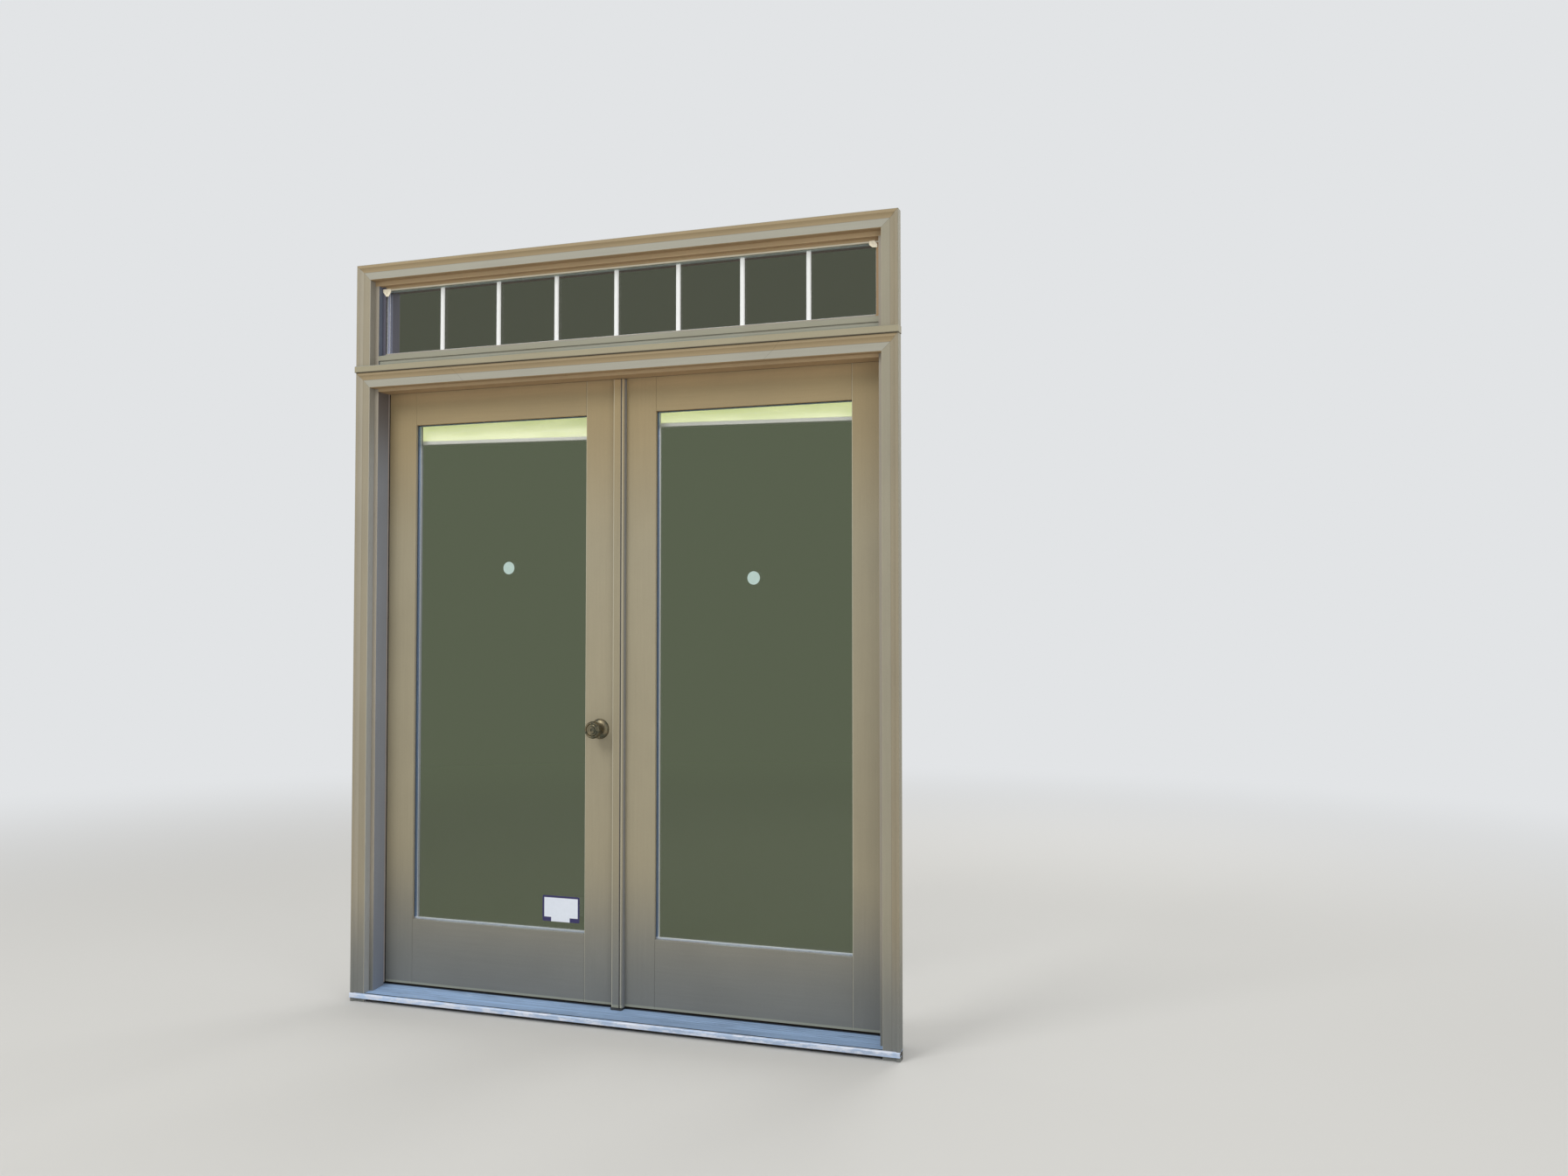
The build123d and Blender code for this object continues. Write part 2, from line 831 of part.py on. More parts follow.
def make_astragal():
    """One T-shaped moulding: a stem on the leaf's edge and a flange that laps both leaves."""
    front = leaf_front - astragal_flange
    bead_left = astragal_right - astragal_bead
    bead_middle = astragal_right - astragal_bead / 2
    bead_foot = front + astragal_bead / 2
    quirk_left = bead_left - astragal_quirk
    outline = [
        Line((-astragal_left, leaf_front - astragal_seal), (-astragal_left, front + edge_round)),
        Line((-astragal_left, front + edge_round), (-astragal_left + edge_round, front)),
        Line((-astragal_left + edge_round, front), (quirk_left, front)),
        Line((quirk_left, front), (bead_left, bead_foot)),
        ThreePointArc((bead_left, bead_foot), (bead_middle, front), (astragal_right, bead_foot)),
        Line((astragal_right, bead_foot), (astragal_right, leaf_front)),
        Line((astragal_right, leaf_front), (stem_left, leaf_front)),
        Line((stem_left, leaf_front), (stem_left, leaf_front - astragal_seal)),
        Line((stem_left, leaf_front - astragal_seal), (-astragal_left, leaf_front - astragal_seal)),
    ]
    flange = upright(outline, leaf_bottom - astragal_drop, head_face - astragal_head_gap)
    stem = block(stem_left, leaf_inner, leaf_front, jamb_depth, leaf_bottom, leaf_top)
    shape = flange + stem
    shape -= plate_blank(stem_left - 1, stem_left + faceplate_thickness)
    shape -= latch_pocket(stem_left - 1, stem_left + latch_throw)
    half = bolt_radius + bolt_clearance
    for z0, z1 in bolt_channels():
        shape -= block(stem_left - 1, bolt_x + half, bolt_y - half, bolt_y + half, z0, z1)
        shape -= guide_blank(z0, z1)
    return shape


def latch_pocket(x0, x1):
    """The hole that the latch's nose springs into."""
    half_y = latch_nose_thickness / 2 + latch_clearance
    half_z = latch_nose_height / 2 + latch_clearance
    return upright_slab(x0, x1, half_y, half_z)


def bolt_channels():
    """From where to where the flush bolts' channels run: the lower one and the upper one."""
    length = bolt_length + bolt_throw + bolt_clearance
    return [(leaf_bottom - 1, leaf_bottom + length), (leaf_top - length, leaf_top + 1)]


def guide_middles():
    """The middles of the two guide plates."""
    return [leaf_bottom + bolt_length / 2, leaf_top - bolt_length / 2]


def guide_blank(z0, z1):
    """The recess for the guide plate that covers a bolt's channel."""
    z = min(guide_middles(), key=lambda m: abs(m - (z0 + z1) / 2))
    return block(
        stem_left - 1,
        stem_left + guide_thickness,
        bolt_y - guide_width / 2,
        bolt_y + guide_width / 2,
        z - guide_height / 2,
        z + guide_height / 2,
    )


def make_bolt_guides():
    """The two plates let into the stem, each with a slot for the bolt's thumb piece."""
    plates = []
    slot = (thumb_height + bolt_throw) / 2 + bolt_clearance
    for i, z in enumerate(guide_middles()):
        plate = block(
            stem_left,
            stem_left + guide_thickness,
            bolt_y - guide_width / 2,
            bolt_y + guide_width / 2,
            z - guide_height / 2,
            z + guide_height / 2,
        )
        shift = bolt_throw / 2 if i else -bolt_throw / 2
        plate -= block(
            stem_left - 1,
            stem_left + guide_thickness + 1,
            bolt_y - thumb_width / 2 - bolt_clearance / 2,
            bolt_y + thumb_width / 2 + bolt_clearance / 2,
            z + shift - slot,
            z + shift + slot,
        )
        plates.append(plate)
    return plates


def make_flush_bolt(z_end, z_inside, z_thumb):
    """A round bolt with a thumb piece that reaches through its guide."""
    bolt = rod(bolt_radius, (bolt_x, bolt_y, z_end), z_inside)
    thumb = block(
        stem_left - thumb_proud,
        bolt_x,
        bolt_y - thumb_width / 2,
        bolt_y + thumb_width / 2,
        z_thumb - thumb_height / 2,
        z_thumb + thumb_height / 2,
    )
    return bolt + thumb


lower_middle, upper_middle = guide_middles()
parts["astragal"] = make_astragal()
parts["bolt_guides"] = make_bolt_guides()
parts["lower_flush_bolt"] = make_flush_bolt(
    leaf_bottom + bolt_clearance, leaf_bottom + bolt_length, lower_middle
)
parts["upper_flush_bolt"] = make_flush_bolt(leaf_top - bolt_clearance, leaf_top - bolt_length, upper_middle)
strike = plate_blank(stem_left, stem_left + faceplate_thickness)
parts["strike_plate"] = strike - latch_pocket(stem_left - 1, stem_left + faceplate_thickness + 1)


# Butt hinges, built for the left leaf


def hinge_half(x_face, into, z, own):
    """One plate with its knuckles. into is the way that the plate is let in, own the knuckles it has."""
    half = hinge_height / 2
    x_back = x_face + into * hinge_plate_thickness
    plate = block(x_face, x_back, jamb_depth - hinge_plate_width, jamb_depth, z - half, z + half)
    length = hinge_height / 5
    for i in own:
        z0 = z - half + i * length + knuckle_gap / 2
        z1 = z0 + length - knuckle_gap
        tongue = block(x_face, x_back, jamb_depth - 1, pin_y - hinge_pin_radius - 0.3, z0, z1)
        plate += tongue + rod(knuckle_radius, (-pin_x, pin_y, z0), z1)
    plate -= rod(hinge_pin_radius + pin_clearance, (-pin_x, pin_y, z - half - 1), z + half + 1)
    return plate


def hinge_pin(z):
    """A loose pin with a button head."""
    half = hinge_height / 2
    pin = rod(hinge_pin_radius, (-pin_x, pin_y, z - half), z + half)
    head = rod(knuckle_radius * 0.8, (-pin_x, pin_y, z + half), z + half + 3)
    return pin + fillet(head.edges().group_by(Axis.Z)[-1], 1.2)


frame_plates = [hinge_half(-pocket_face, -1, z, (0, 2, 4)) for z in hinge_middles]
leaf_plates = [hinge_half(-leaf_outer, 1, z, (1, 3)) for z in hinge_middles]
pins = [hinge_pin(z) for z in hinge_middles]
parts["hinge_frame_plates"] = frame_plates + [twin(p) for p in frame_plates]
parts["hinge_pins"] = pins + [twin(p) for p in pins]
parts["left_hinge_plates"] = leaf_plates
parts["right_hinge_plates"] = [twin(p) for p in leaf_plates]


# Knob set and latch on the active leaf


def turned(outline):
    """A closed outline of (radius, reach from the leaf's outer face), turned about the knob's axis."""
    shape = revolve(Plane.XZ * make_face(outline), Axis.Z)
    return Pos(knob_x, leaf_front, knob_height) * Rot(90, 0, 0) * shape


def to_inside(shape):
    """The same piece on the leaf's inner face."""
    return mirror(shape, about=Plane.XZ.offset(-leaf_middle))


def rose_outline():
    """A pressed rose: a thin domed cover with a hole for the shank."""
    hole = shank_radius + latch_clearance
    middle = (rose_radius + hole) / 2 + 3
    return [
        ThreePointArc((rose_radius, 0), (middle + 3, rose_height * 0.62), (hole, rose_height)),
        Line((hole, rose_height), (hole, rose_height - rose_wall)),
        ThreePointArc(
            (hole, rose_height - rose_wall),
            (middle + 2, rose_height * 0.62 - rose_wall),
            (rose_radius - 2 * rose_wall, 0),
        ),
        Line((rose_radius - 2 * rose_wall, 0), (rose_radius, 0)),
    ]


def knob_outline():
    """A turned knob: shank, flare, rolled rim and a face with two rings round its middle."""
    rim = knob_radius
    face = knob_reach - 4
    foot = rose_height - 3
    neck = (shank_radius, knob_reach * 0.34)
    shoulder = (rim - 4, knob_reach * 0.6)
    return [
        Line((0, foot), (shank_radius, foot)),
        Line((shank_radius, foot), neck),
        ThreePointArc(neck, (rim * 0.56, knob_reach * 0.5), shoulder),
        ThreePointArc(shoulder, (rim, knob_reach * 0.74), (rim - 3.5, face)),
        ThreePointArc((rim - 3.5, face), (rim - 5.5, face + 1.6), (rim - 7.5, face)),
        Line((rim - 7.5, face), (rim - 8.5, face - 1.5)),
        ThreePointArc((rim - 8.5, face - 1.5), (rim - 12, face + 1.2), (rim - 15.5, face + 1)),
        Line((rim - 15.5, face + 1), (rim - 16, face + 3.2)),
        ThreePointArc((rim - 16, face + 3.2), (rim - 17, knob_reach), (rim - 18, knob_reach)),
        Line((rim - 18, knob_reach), (0, knob_reach)),
        Line((0, knob_reach), (0, foot)),
    ]


def along_knob(radius, reach0, reach1):
    """A bar on the knob's axis, between two distances out from the leaf's outer face."""
    return rod(radius, (knob_x, leaf_front - reach0, knob_height), leaf_front - reach1, "Y")


def make_outside_knob():
    """The outer knob with the spindle that runs through the leaf."""
    knob = turned(knob_outline())
    knob -= along_knob(plug_radius + turning_clearance, knob_reach - plug_length, knob_reach + 1)
    inner_end = -leaf_thickness - knob_reach + 2 * button_length
    return knob + along_knob(spindle_radius, rose_height, inner_end)


def make_inside_knob():
    """The inner knob, which fits over the spindle and holds the turn button."""
    knob = to_inside(turned(knob_outline()))
    start = -leaf_thickness
    face = start - knob_reach
    knob -= along_knob(spindle_radius + turning_clearance, start, face + 2 * button_length - 0.5)
    knob -= along_knob(button_radius + turning_clearance, face + button_length, face - 1)
    return knob


def make_key_plug():
    """The lock's plug in the outer knob, with its keyway."""
    plug = along_knob(plug_radius, knob_reach - plug_length + 0.5, knob_reach + 0.6)
    keyway = block(knob_x - 1, knob_x + 1, leaf_front - knob_reach - 1, leaf_front - knob_reach + 10, 0, 9)
    return plug - Pos(0, 0, knob_height - 4.5) * keyway


def make_turn_button():
    """The button in the inner knob, with a bar to turn it by."""
    face = -leaf_thickness - knob_reach
    button = along_knob(button_radius, face + button_length - 0.4, face)
    bar = block(
        knob_x - button_bar / 2,
        knob_x + button_bar / 2,
        jamb_depth + knob_reach + 0.4,
        jamb_depth + knob_reach + 7,
        knob_height - 2.5,
        knob_height + 2.5,
    )
    neck = along_knob(button_radius * 0.6, face, face - 3)
    return button + neck + fillet(bar.edges().group_by(Axis.Y)[-1], 1.5)


def make_lock_chassis():
    """The body between the roses that the spindle turns in, open for the latch's tail."""
    body = along_knob(face_bore_radius - 2, -2.5, -leaf_thickness + 2.5)
    body -= along_knob(spindle_radius + turning_clearance, 0, -leaf_thickness)
    slot = latch_tail_radius + 1
    body -= block(
        knob_x,
        knob_x + face_bore_radius,
        leaf_middle - slot,
        leaf_middle + slot,
        knob_height - slot,
        knob_height + slot,
    )
    return body


latch_tip = stem_left + latch_throw * 0.7
latch_back = latch_tip - 2 * latch_throw
latch_case_end = knob_x + face_bore_radius - 2 + latch_clearance


def make_latch_case():
    """The latch's round case with its plate in the leaf's edge."""
    case = rod(edge_bore_radius - 0.4, (-leaf_inner - 1, leaf_middle, knob_height), latch_case_end, "X")
    case += plate_blank(-leaf_inner - faceplate_thickness, -leaf_inner)
    case -= latch_pocket(latch_back - latch_throw - latch_clearance, -leaf_inner + 1)
    tail = latch_tail_radius + latch_clearance
    return case - rod(tail, (-leaf_inner, leaf_middle, knob_height), latch_case_end - 1, "X")


def make_latch_bolt():
    """The sprung nose, bevelled on the side that meets the strike, and its tail."""
    half_y, half_z = latch_nose_thickness / 2, latch_nose_height / 2
    outline = loop_of(
        (latch_back, leaf_middle - half_y),
        (-leaf_inner, leaf_middle - half_y),
        (latch_tip, leaf_middle + half_y - 3),
        (latch_tip, leaf_middle + half_y),
        (latch_back, leaf_middle + half_y),
    )
    nose = upright(outline, knob_height - half_z, knob_height + half_z)
    tail_end = knob_x + spindle_radius + 1 + latch_throw
    return nose + rod(latch_tail_radius, (latch_back + 1, leaf_middle, knob_height), tail_end, "X")


outside_rose = turned(rose_outline())
parts["knob_roses"] = [outside_rose, to_inside(outside_rose)]
parts["outside_knob"] = make_outside_knob()
parts["inside_knob"] = make_inside_knob()
parts["key_plug"] = make_key_plug()
parts["turn_button"] = make_turn_button()
parts["lock_chassis"] = make_lock_chassis()
parts["latch_case"] = make_latch_case()
parts["latch_bolt"] = make_latch_bolt()


# One file for each piece


os.makedirs("parts", exist_ok=True)
for name, shape in parts.items():
    solids = shape if isinstance(shape, list) else [shape]
    export_step(Compound(label=name, children=solids), f"parts/{name}.step")
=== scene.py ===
import math
import bmesh
import bpy
from mathutils import Matrix, Vector


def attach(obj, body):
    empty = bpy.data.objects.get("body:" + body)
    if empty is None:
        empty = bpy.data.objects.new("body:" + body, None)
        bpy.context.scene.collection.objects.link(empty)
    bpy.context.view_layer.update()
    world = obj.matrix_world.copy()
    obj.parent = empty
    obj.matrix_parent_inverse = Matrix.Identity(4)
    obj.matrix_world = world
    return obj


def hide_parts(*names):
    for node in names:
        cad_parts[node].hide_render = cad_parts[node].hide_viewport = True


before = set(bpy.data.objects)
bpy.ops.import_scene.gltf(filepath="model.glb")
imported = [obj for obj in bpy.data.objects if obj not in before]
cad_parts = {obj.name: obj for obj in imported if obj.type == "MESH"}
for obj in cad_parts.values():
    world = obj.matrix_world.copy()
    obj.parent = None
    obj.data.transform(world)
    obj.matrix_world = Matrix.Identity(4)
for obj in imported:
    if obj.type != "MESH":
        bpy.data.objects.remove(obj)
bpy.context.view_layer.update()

# Camera: it stands to the right of the doors and 3.7 m out, at chest height, and looks to the left and a
# little up, so that the inner face of the left jamb shows and the right one is hidden.
camera_place = (1.859, -3.712, 1.262)
camera_turn = 18.93
camera_rise = 1.72
camera_lens = 29.62
camera_reach = 200
camera = bpy.data.objects.new("camera", bpy.data.cameras.new("camera"))
camera.data.lens = camera_lens
camera.data.clip_end = camera_reach
camera.location = camera_place
camera.rotation_euler = (math.radians(90 + camera_rise), 0, math.radians(camera_turn))
bpy.context.collection.objects.link(camera)
bpy.context.scene.camera = camera


# Studio: a pale floor that runs out into a pale sky of the same tone, with a large soft lamp high at the
# left, a weaker one at the right and one over the room. Behind the glass lies a dim room, so that floor and
# sky are darker through a pane.
def srgb(red, green, blue):
    """The linear colour of a finish, from the 0 to 255 values that it reads as on a screen."""
    steps = (value / 255 for value in (red, green, blue))
    return tuple(v / 12.92 if v <= 0.04045 else ((v + 0.055) / 1.055) ** 2.4 for v in steps) + (1.0,)


class Value:
    """A shader socket. An expression on it adds the Math nodes that work it out."""

    def __init__(self, finish, socket):
        self.finish = finish
        self.socket = socket

    def math(self, operation, first, second=0.0):
        return self.finish.add("Math", {"operation": operation}, {0: first, 1: second})

    def __add__(self, other):
        return self.math("ADD", self, other)

    def __sub__(self, other):
        return self.math("SUBTRACT", self, other)

    def __rsub__(self, other):
        return self.math("SUBTRACT", other, self)

    def __mul__(self, other):
        return self.math("MULTIPLY", self, other)

    def __truediv__(self, other):
        return self.math("DIVIDE", self, other)

    def __pow__(self, other):
        return self.math("POWER", self, other)

    def __gt__(self, other):
        return self.math("GREATER_THAN", self, other)

    __radd__ = __add__
    __rmul__ = __mul__

    def size(self):
        """The value without its sign."""
        return self.math("ABSOLUTE", self)

    def limited(self):
        """The value kept between 0 and 1."""
        return self.finish.add("Clamp", {}, {0: self})

    def about(self, middle, spread):
        """A pattern that runs from 0 to 1, spread evenly about middle instead."""
        return middle + (self - 0.5) * spread


class Finish:
    """A node tree that grows as its recipe is written, on a material or on the world."""

    def __init__(self, owner):
        self.owner = owner
        owner.use_nodes = True
        self.tree = owner.node_tree
        self.tree.nodes.clear()

    def add(self, kind, settings, sockets, output=0):
        """A node of this kind with its settings, then the values or links of its sockets."""
        node = self.tree.nodes.new("ShaderNode" + kind)
        for name, setting in settings.items():
            setattr(node, name, setting)
        for name, value in sockets.items():
            if isinstance(value, Value):
                self.tree.links.new(value.socket, node.inputs[name])
            else:
                node.inputs[name].default_value = value
        return Value(self, node.outputs[output])

    def place(self):
        return self.add("TexCoord", {}, {}, "Object")

    def facing(self):
        return self.add("TexCoord", {}, {}, "Normal")

    def parts(self, vector):
        split = self.add("SeparateXYZ", {}, {0: vector})
        return [Value(self, output) for output in split.socket.node.outputs]

    def noise(self, stretch, scale=1.0, detail=3.0, rough=0.5, moved=(0, 0, 0)):
        """Noise from 0 to 1 about a mean of 0.5. stretch is how many grains a metre has along each axis."""
        spread = self.add("Mapping", {}, {"Vector": self.place(), "Scale": stretch, "Location": moved})
        sockets = {"Vector": spread, "Scale": scale, "Detail": detail, "Roughness": rough}
        return self.add("TexNoise", {}, sockets)

    def band(self, value, low, high):
        """0 below low and 1 above high, smooth between them. low may be the larger one."""
        settings = {"interpolation_type": "SMOOTHSTEP"}
        if low > high:
            return 1.0 - self.band(value, high, low)
        return self.add("MapRange", settings, {0: value, 1: low, 2: high})

    def blend(self, share, first, second):
        """The colour second laid over first by share."""
        settings = {"data_type": "RGBA", "blend_type": "MIX"}
        return self.add("Mix", settings, {0: share, 6: first, 7: second}, 2)

    def tone(self, colour, amount):
        """colour made lighter or darker by amount."""
        start = colour if isinstance(colour, Value) else colour[:3]
        return self.add("VectorMath", {"operation": "SCALE"}, {0: start, "Scale": amount})

    def bump(self, height, distance, strength):
        return self.add("Bump", {}, {"Height": height, "Distance": distance, "Strength": strength})

    def solid(self, **sockets):
        """A Principled shader. Its socket names are written with underscores."""
        named = {name.replace("_", " "): value for name, value in sockets.items()}
        return self.add("BsdfPrincipled", {}, named)

    def mixed(self, share, first, second):
        return self.add("MixShader", {}, {0: share, 1: first, 2: second})

    def done(self, shader, output="OutputMaterial"):
        """Ends the recipe with its shader and gives back the material or the world."""
        end = self.tree.nodes.new("ShaderNode" + output)
        self.tree.links.new(shader.socket, end.inputs["Surface"])
        return self.owner


def new_finish(name):
    return Finish(bpy.data.materials.new(name))


def seen_through_glass(finish):
    return finish.add("LightPath", {}, {}, "Transparent Depth") > 0.5


def seen(finish):
    """1 for what is seen directly, in metal or in glass, and 0 for what only lights."""
    path = finish.add("LightPath", {}, {}).socket.node
    ray_names = ("Is Camera Ray", "Is Glossy Ray", "Is Transmission Ray")
    camera_ray, mirrored_ray, passed_ray = (Value(finish, path.outputs[name]) for name in ray_names)
    return (camera_ray + mirrored_ray + passed_ray).limited()


sky_tone = srgb(226, 228, 230)
floor_tone = srgb(205, 204, 200)
room_tone = srgb(74, 83, 58)
daylight_tone = srgb(255, 255, 255)
sky_strength = 0.72
floor_half = 60.0
floor_fade = (2.4, 8.0)
world = bpy.data.worlds.new("studio_sky")
bpy.context.scene.world = world
sky = Finish(world)
lighting = sky.add("Background", {}, {"Color": daylight_tone, "Strength": sky_strength})
shown_tone = sky.blend(seen_through_glass(sky), sky_tone, room_tone)
shown = sky.add("Background", {}, {"Color": shown_tone, "Strength": 1.0})
sky.done(sky.mixed(seen(sky), lighting, shown), "OutputWorld")

ground = new_finish("floor_paint")
distance = ground.add("VectorMath", {"operation": "LENGTH"}, {0: ground.place()}, "Value")
through = seen_through_glass(ground)
near_tone = ground.blend(through, floor_tone, room_tone)
far_tone = ground.blend(through, sky_tone, room_tone)
painted_floor = ground.solid(Base_Color=near_tone, Roughness=0.8, Specular_IOR_Level=0.1)
far_floor = ground.add("Emission", {}, {"Color": far_tone, "Strength": 1.0})
floor_mesh = bmesh.new()
bmesh.ops.create_grid(floor_mesh, x_segments=1, y_segments=1, size=floor_half)
floor = bpy.data.objects.new("floor", bpy.data.meshes.new("floor"))
floor_mesh.to_mesh(floor.data)
floor_mesh.free()
floor.data.materials.append(
    ground.done(ground.mixed(ground.band(distance, *floor_fade), painted_floor, far_floor))
)
bpy.context.collection.objects.link(floor)

lamp_aim = (0, 0, 1.2)
lamp_side = 3.0


def soft_lamp(name, place, watts):
    """A square lamp that shines on the middle of the doors and isn't seen itself."""
    lamp = bpy.data.lights.new(name, "AREA")
    lamp.shape = "SQUARE"
    lamp.size = lamp_side
    lamp.energy = watts
    holder = bpy.data.objects.new(name, lamp)
    holder.location = place
    holder.rotation_mode = "QUATERNION"
    holder.rotation_quaternion = (Vector(lamp_aim) - Vector(place)).to_track_quat("-Z", "Y")
    holder.visible_camera = False
    bpy.context.collection.objects.link(holder)


soft_lamp("key_lamp", (-2.4, -5.2, 6.1), 215)
soft_lamp("side_lamp", (4.5, -3.5, 2.6), 50)
soft_lamp("room_lamp", (1.5, 5.0, 4.0), 90)
bpy.context.scene.view_settings.view_transform = "Standard"


# Casings and drip cap: mitred softwood moulding, nailed round the doors and round the transom, with a moulded
# cap between them. Like the jambs and leaves, it is brush-painted, streaked along each stick and blotched.
# Light and shade are painted into it too: pale sky light among dust on ledges, painted shade on faces that
# look down or to the middle and at the foot, and a painted-light tone on faces that lean one way.
MM = 0.001
casing_inner = 899.5
casing_cove = 27.0
casing_corners = (2077.3, 2447.0)
drip_joint = 2130.3
# Painted light: each leg's second tone is for faces that lean towards +X, and the right leg's pair is darker.
leg_light_tones = {
    "left": (srgb(149, 140, 119), srgb(157, 149, 131)),
    "right": (srgb(144, 134, 112), srgb(148, 142, 123)),
}
# Painted light: the head casing's pale tone is for faces that lean up.
tan_tone = srgb(152, 134, 102)
head_lean_light_tone = srgb(155, 152, 138)
drip_tone = srgb(154, 146, 121)
# Painted shade and light by how a face lies: greyer at the foot, brown on faces that look down, a bluish
# painted sky light among the dust on ledges, and grey-blue shade on faces that look to the middle, darker
# near the head.
foot_shade_tone = srgb(114, 116, 113)
under_shade_tone = srgb(164, 134, 98)
ledge_dust_and_sky_tone = srgb(140, 151, 150)
shade_tone = srgb(134, 140, 152)
high_shade_tone = srgb(90, 83, 83)
inside_tone = srgb(214, 212, 203)
# Dark lines are joints and painted shade in creases; pale lines are painted highlights on edges.
dark_joint_and_shade_tone = srgb(40, 36, 28)
highlight_tone = srgb(212, 208, 188)
shade_from = 1750.0
shade_full = 2060.0
side_reach = 50.0
inside_from = 116.5
under_shade_share = 0.8
side_shade_share = 0.85
ledge_dust_and_sky_share = 0.75
leaning = (0.0, 0.08)
looking_sideways = (0.75, 0.98)
looking_down = (-0.5, -1.0)
looking_up = (0.3, 0.9)
dust_and_sky_patches = (0.35, 0.6)
streak_depth = 0.13
blotch_depth = 0.18
speck_depth = 0.10
mitre_from = 1.8
mitre_full = 0.6
mitre_depth = 0.2
along_grain = 5.0
across_grain = 160.0
brush_grain = {
    "x": (along_grain, across_grain, across_grain),
    "z": (across_grain, across_grain, along_grain),
}


def dress(material, *names):
    """Gives the CAD nodes with these names a material."""
    for name in names:
        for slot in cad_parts[name].material_slots:
            slot.material = material


def painted(
    name, tone, run, lean=None, fades=(), lines=(), mitres=(), under=under_shade_tone, side=None, inside=False
):
    """Paint brushed along run, with light and shade painted in. Sizes are in millimetres, and the axis out is
    the distance from the middle. lean is the painted-light tone of faces that lean towards +X or +Z.
    fades are (axis, from, full, tone), and lines are (axis, place, half width, share, tone); most of both
    are painted light and shade. mitres are the heights of the casing's inner corners. under and side are
    the painted-shade tones of faces that look down and to the middle. inside is for pieces that reach the
    room, whose side has its own paint."""
    paint = new_finish(name)
    across, into, up = paint.parts(paint.place())
    face_x, face_z = paint.parts(paint.facing())[::2]
    axes = {"x": across, "z": up, "out": across.size()}
    streaks = paint.noise(brush_grain[run], detail=4.0, rough=0.6)
    blotches = paint.noise((1, 1, 1), scale=4.5, detail=3.0, moved=(3, 1, 2))
    specks = paint.noise((1, 1, 1), scale=420.0, detail=2.0)
    colour = tone
    # Painted light: faces that lean one way across the run take the lean tone.
    if lean:
        colour = paint.blend(paint.band(face_x if run == "z" else face_z, *leaning), colour, lean)
    for axis, start, full, fade_tone in fades:
        colour = paint.blend(paint.band(axes[axis], start * MM, full * MM), colour, fade_tone)
    # Painted shade on faces that look to the middle, darker near the head, and on faces that look down; on
    # faces that look up, dust patches in a bluish tone of painted sky light.
    if side is None:
        side = paint.blend(paint.band(up, shade_from * MM, shade_full * MM), shade_tone, high_shade_tone)
    towards_middle = side_reach * MM - across * face_x > 0.0
    side_shade = paint.band(face_x.size(), *looking_sideways) * towards_middle
    colour = paint.blend(side_shade * side_shade_share, colour, side)
    colour = paint.blend(paint.band(face_z, *looking_down) * under_shade_share, colour, under)
    dust_and_sky_light = paint.band(face_z, *looking_up) * paint.band(blotches, *dust_and_sky_patches)
    colour = paint.blend(dust_and_sky_light * ledge_dust_and_sky_share, colour, ledge_dust_and_sky_tone)
    if inside:
        colour = paint.blend(into > inside_from * MM, colour, inside_tone)
    wear = streaks.about(1.0, streak_depth) + blotches.about(0.0, blotch_depth)
    colour = paint.tone(colour, wear + specks.about(0.0, speck_depth))
    # Thin lines: dark ones are joints and painted shade, pale ones are painted highlights.
    for axis, middle, half, share, line_tone in lines:
        line = paint.band((axes[axis] - middle * MM).size(), half * MM, half * MM / 3)
        colour = paint.blend(line * share, colour, line_tone)
    for height in mitres:
        off_mitre = (axes["out"] - up - (casing_inner - height) * MM).size()
        line = paint.band(off_mitre, mitre_from * MM, mitre_full * MM)
        colour = paint.tone(colour, 1.0 - line * mitre_depth)
    return paint.done(
        paint.solid(
            Base_Color=colour,
            Roughness=blotches.about(0.62, 0.2),
            Normal=paint.bump(streaks * 0.7 + specks * 0.3, 0.3 * MM, 0.55),
            Specular_IOR_Level=0.35,
        )
    )


# Painted shade greyer towards the foot; a faint painted shade line at the cove and a painted highlight on the
# inner edge of each leg.
casing_foot_shade = [("z", 450.0, 50.0, foot_shade_tone)]
leg_lines = [
    ("out", casing_inner + casing_cove, 1.5, 0.15, dark_joint_and_shade_tone),
    ("out", casing_inner, 2.5, 0.3, highlight_tone),
]
for side, (leg_tone, leg_lean_light_tone) in leg_light_tones.items():
    leg_name = side + "_leg_paint"
    leg_paint = painted(leg_name, leg_tone, "z", leg_lean_light_tone, casing_foot_shade, leg_lines, casing_corners)
    dress(leg_paint, side + "_casing", "transom_" + side + "_casing")
# A dark line of painted shadow under the drip cap, and faint painted shade lines at the head casings' coves.
drip_line = [("z", drip_joint, 3.0, 0.6, dark_joint_and_shade_tone)]
level_lines = [("z", corner + casing_cove, 2.0, 0.25, dark_joint_and_shade_tone) for corner in casing_corners]
level_paint = painted("level_paint", tan_tone, "x", head_lean_light_tone, (), level_lines + drip_line, casing_corners)
dress(level_paint, "head_casing", "transom_head_casing")
dress(painted("drip_cap_paint", drip_tone, "x", lines=drip_line), "drip_cap")


# Jambs: painted softwood boards that line the opening, rabbeted for the leaves. The head jambs are browner,
# since light reaches them from below, and the room's side of each jamb is off-white.
jamb_tone = srgb(160, 152, 137)
head_jamb_tone = srgb(178, 154, 118)
# Painted shade: the side jambs grow greyer towards the foot and take a grey-blue shade on their inner faces.
side_jamb_paint = painted("side_jamb_paint", jamb_tone, "z", fades=casing_foot_shade, inside=True)
dress(side_jamb_paint, "left_jamb", "right_jamb")
head_jamb_paint = painted("head_jamb_paint", head_jamb_tone, "x", inside=True)
dress(head_jamb_paint, "head_jamb", "transom_head_jamb")


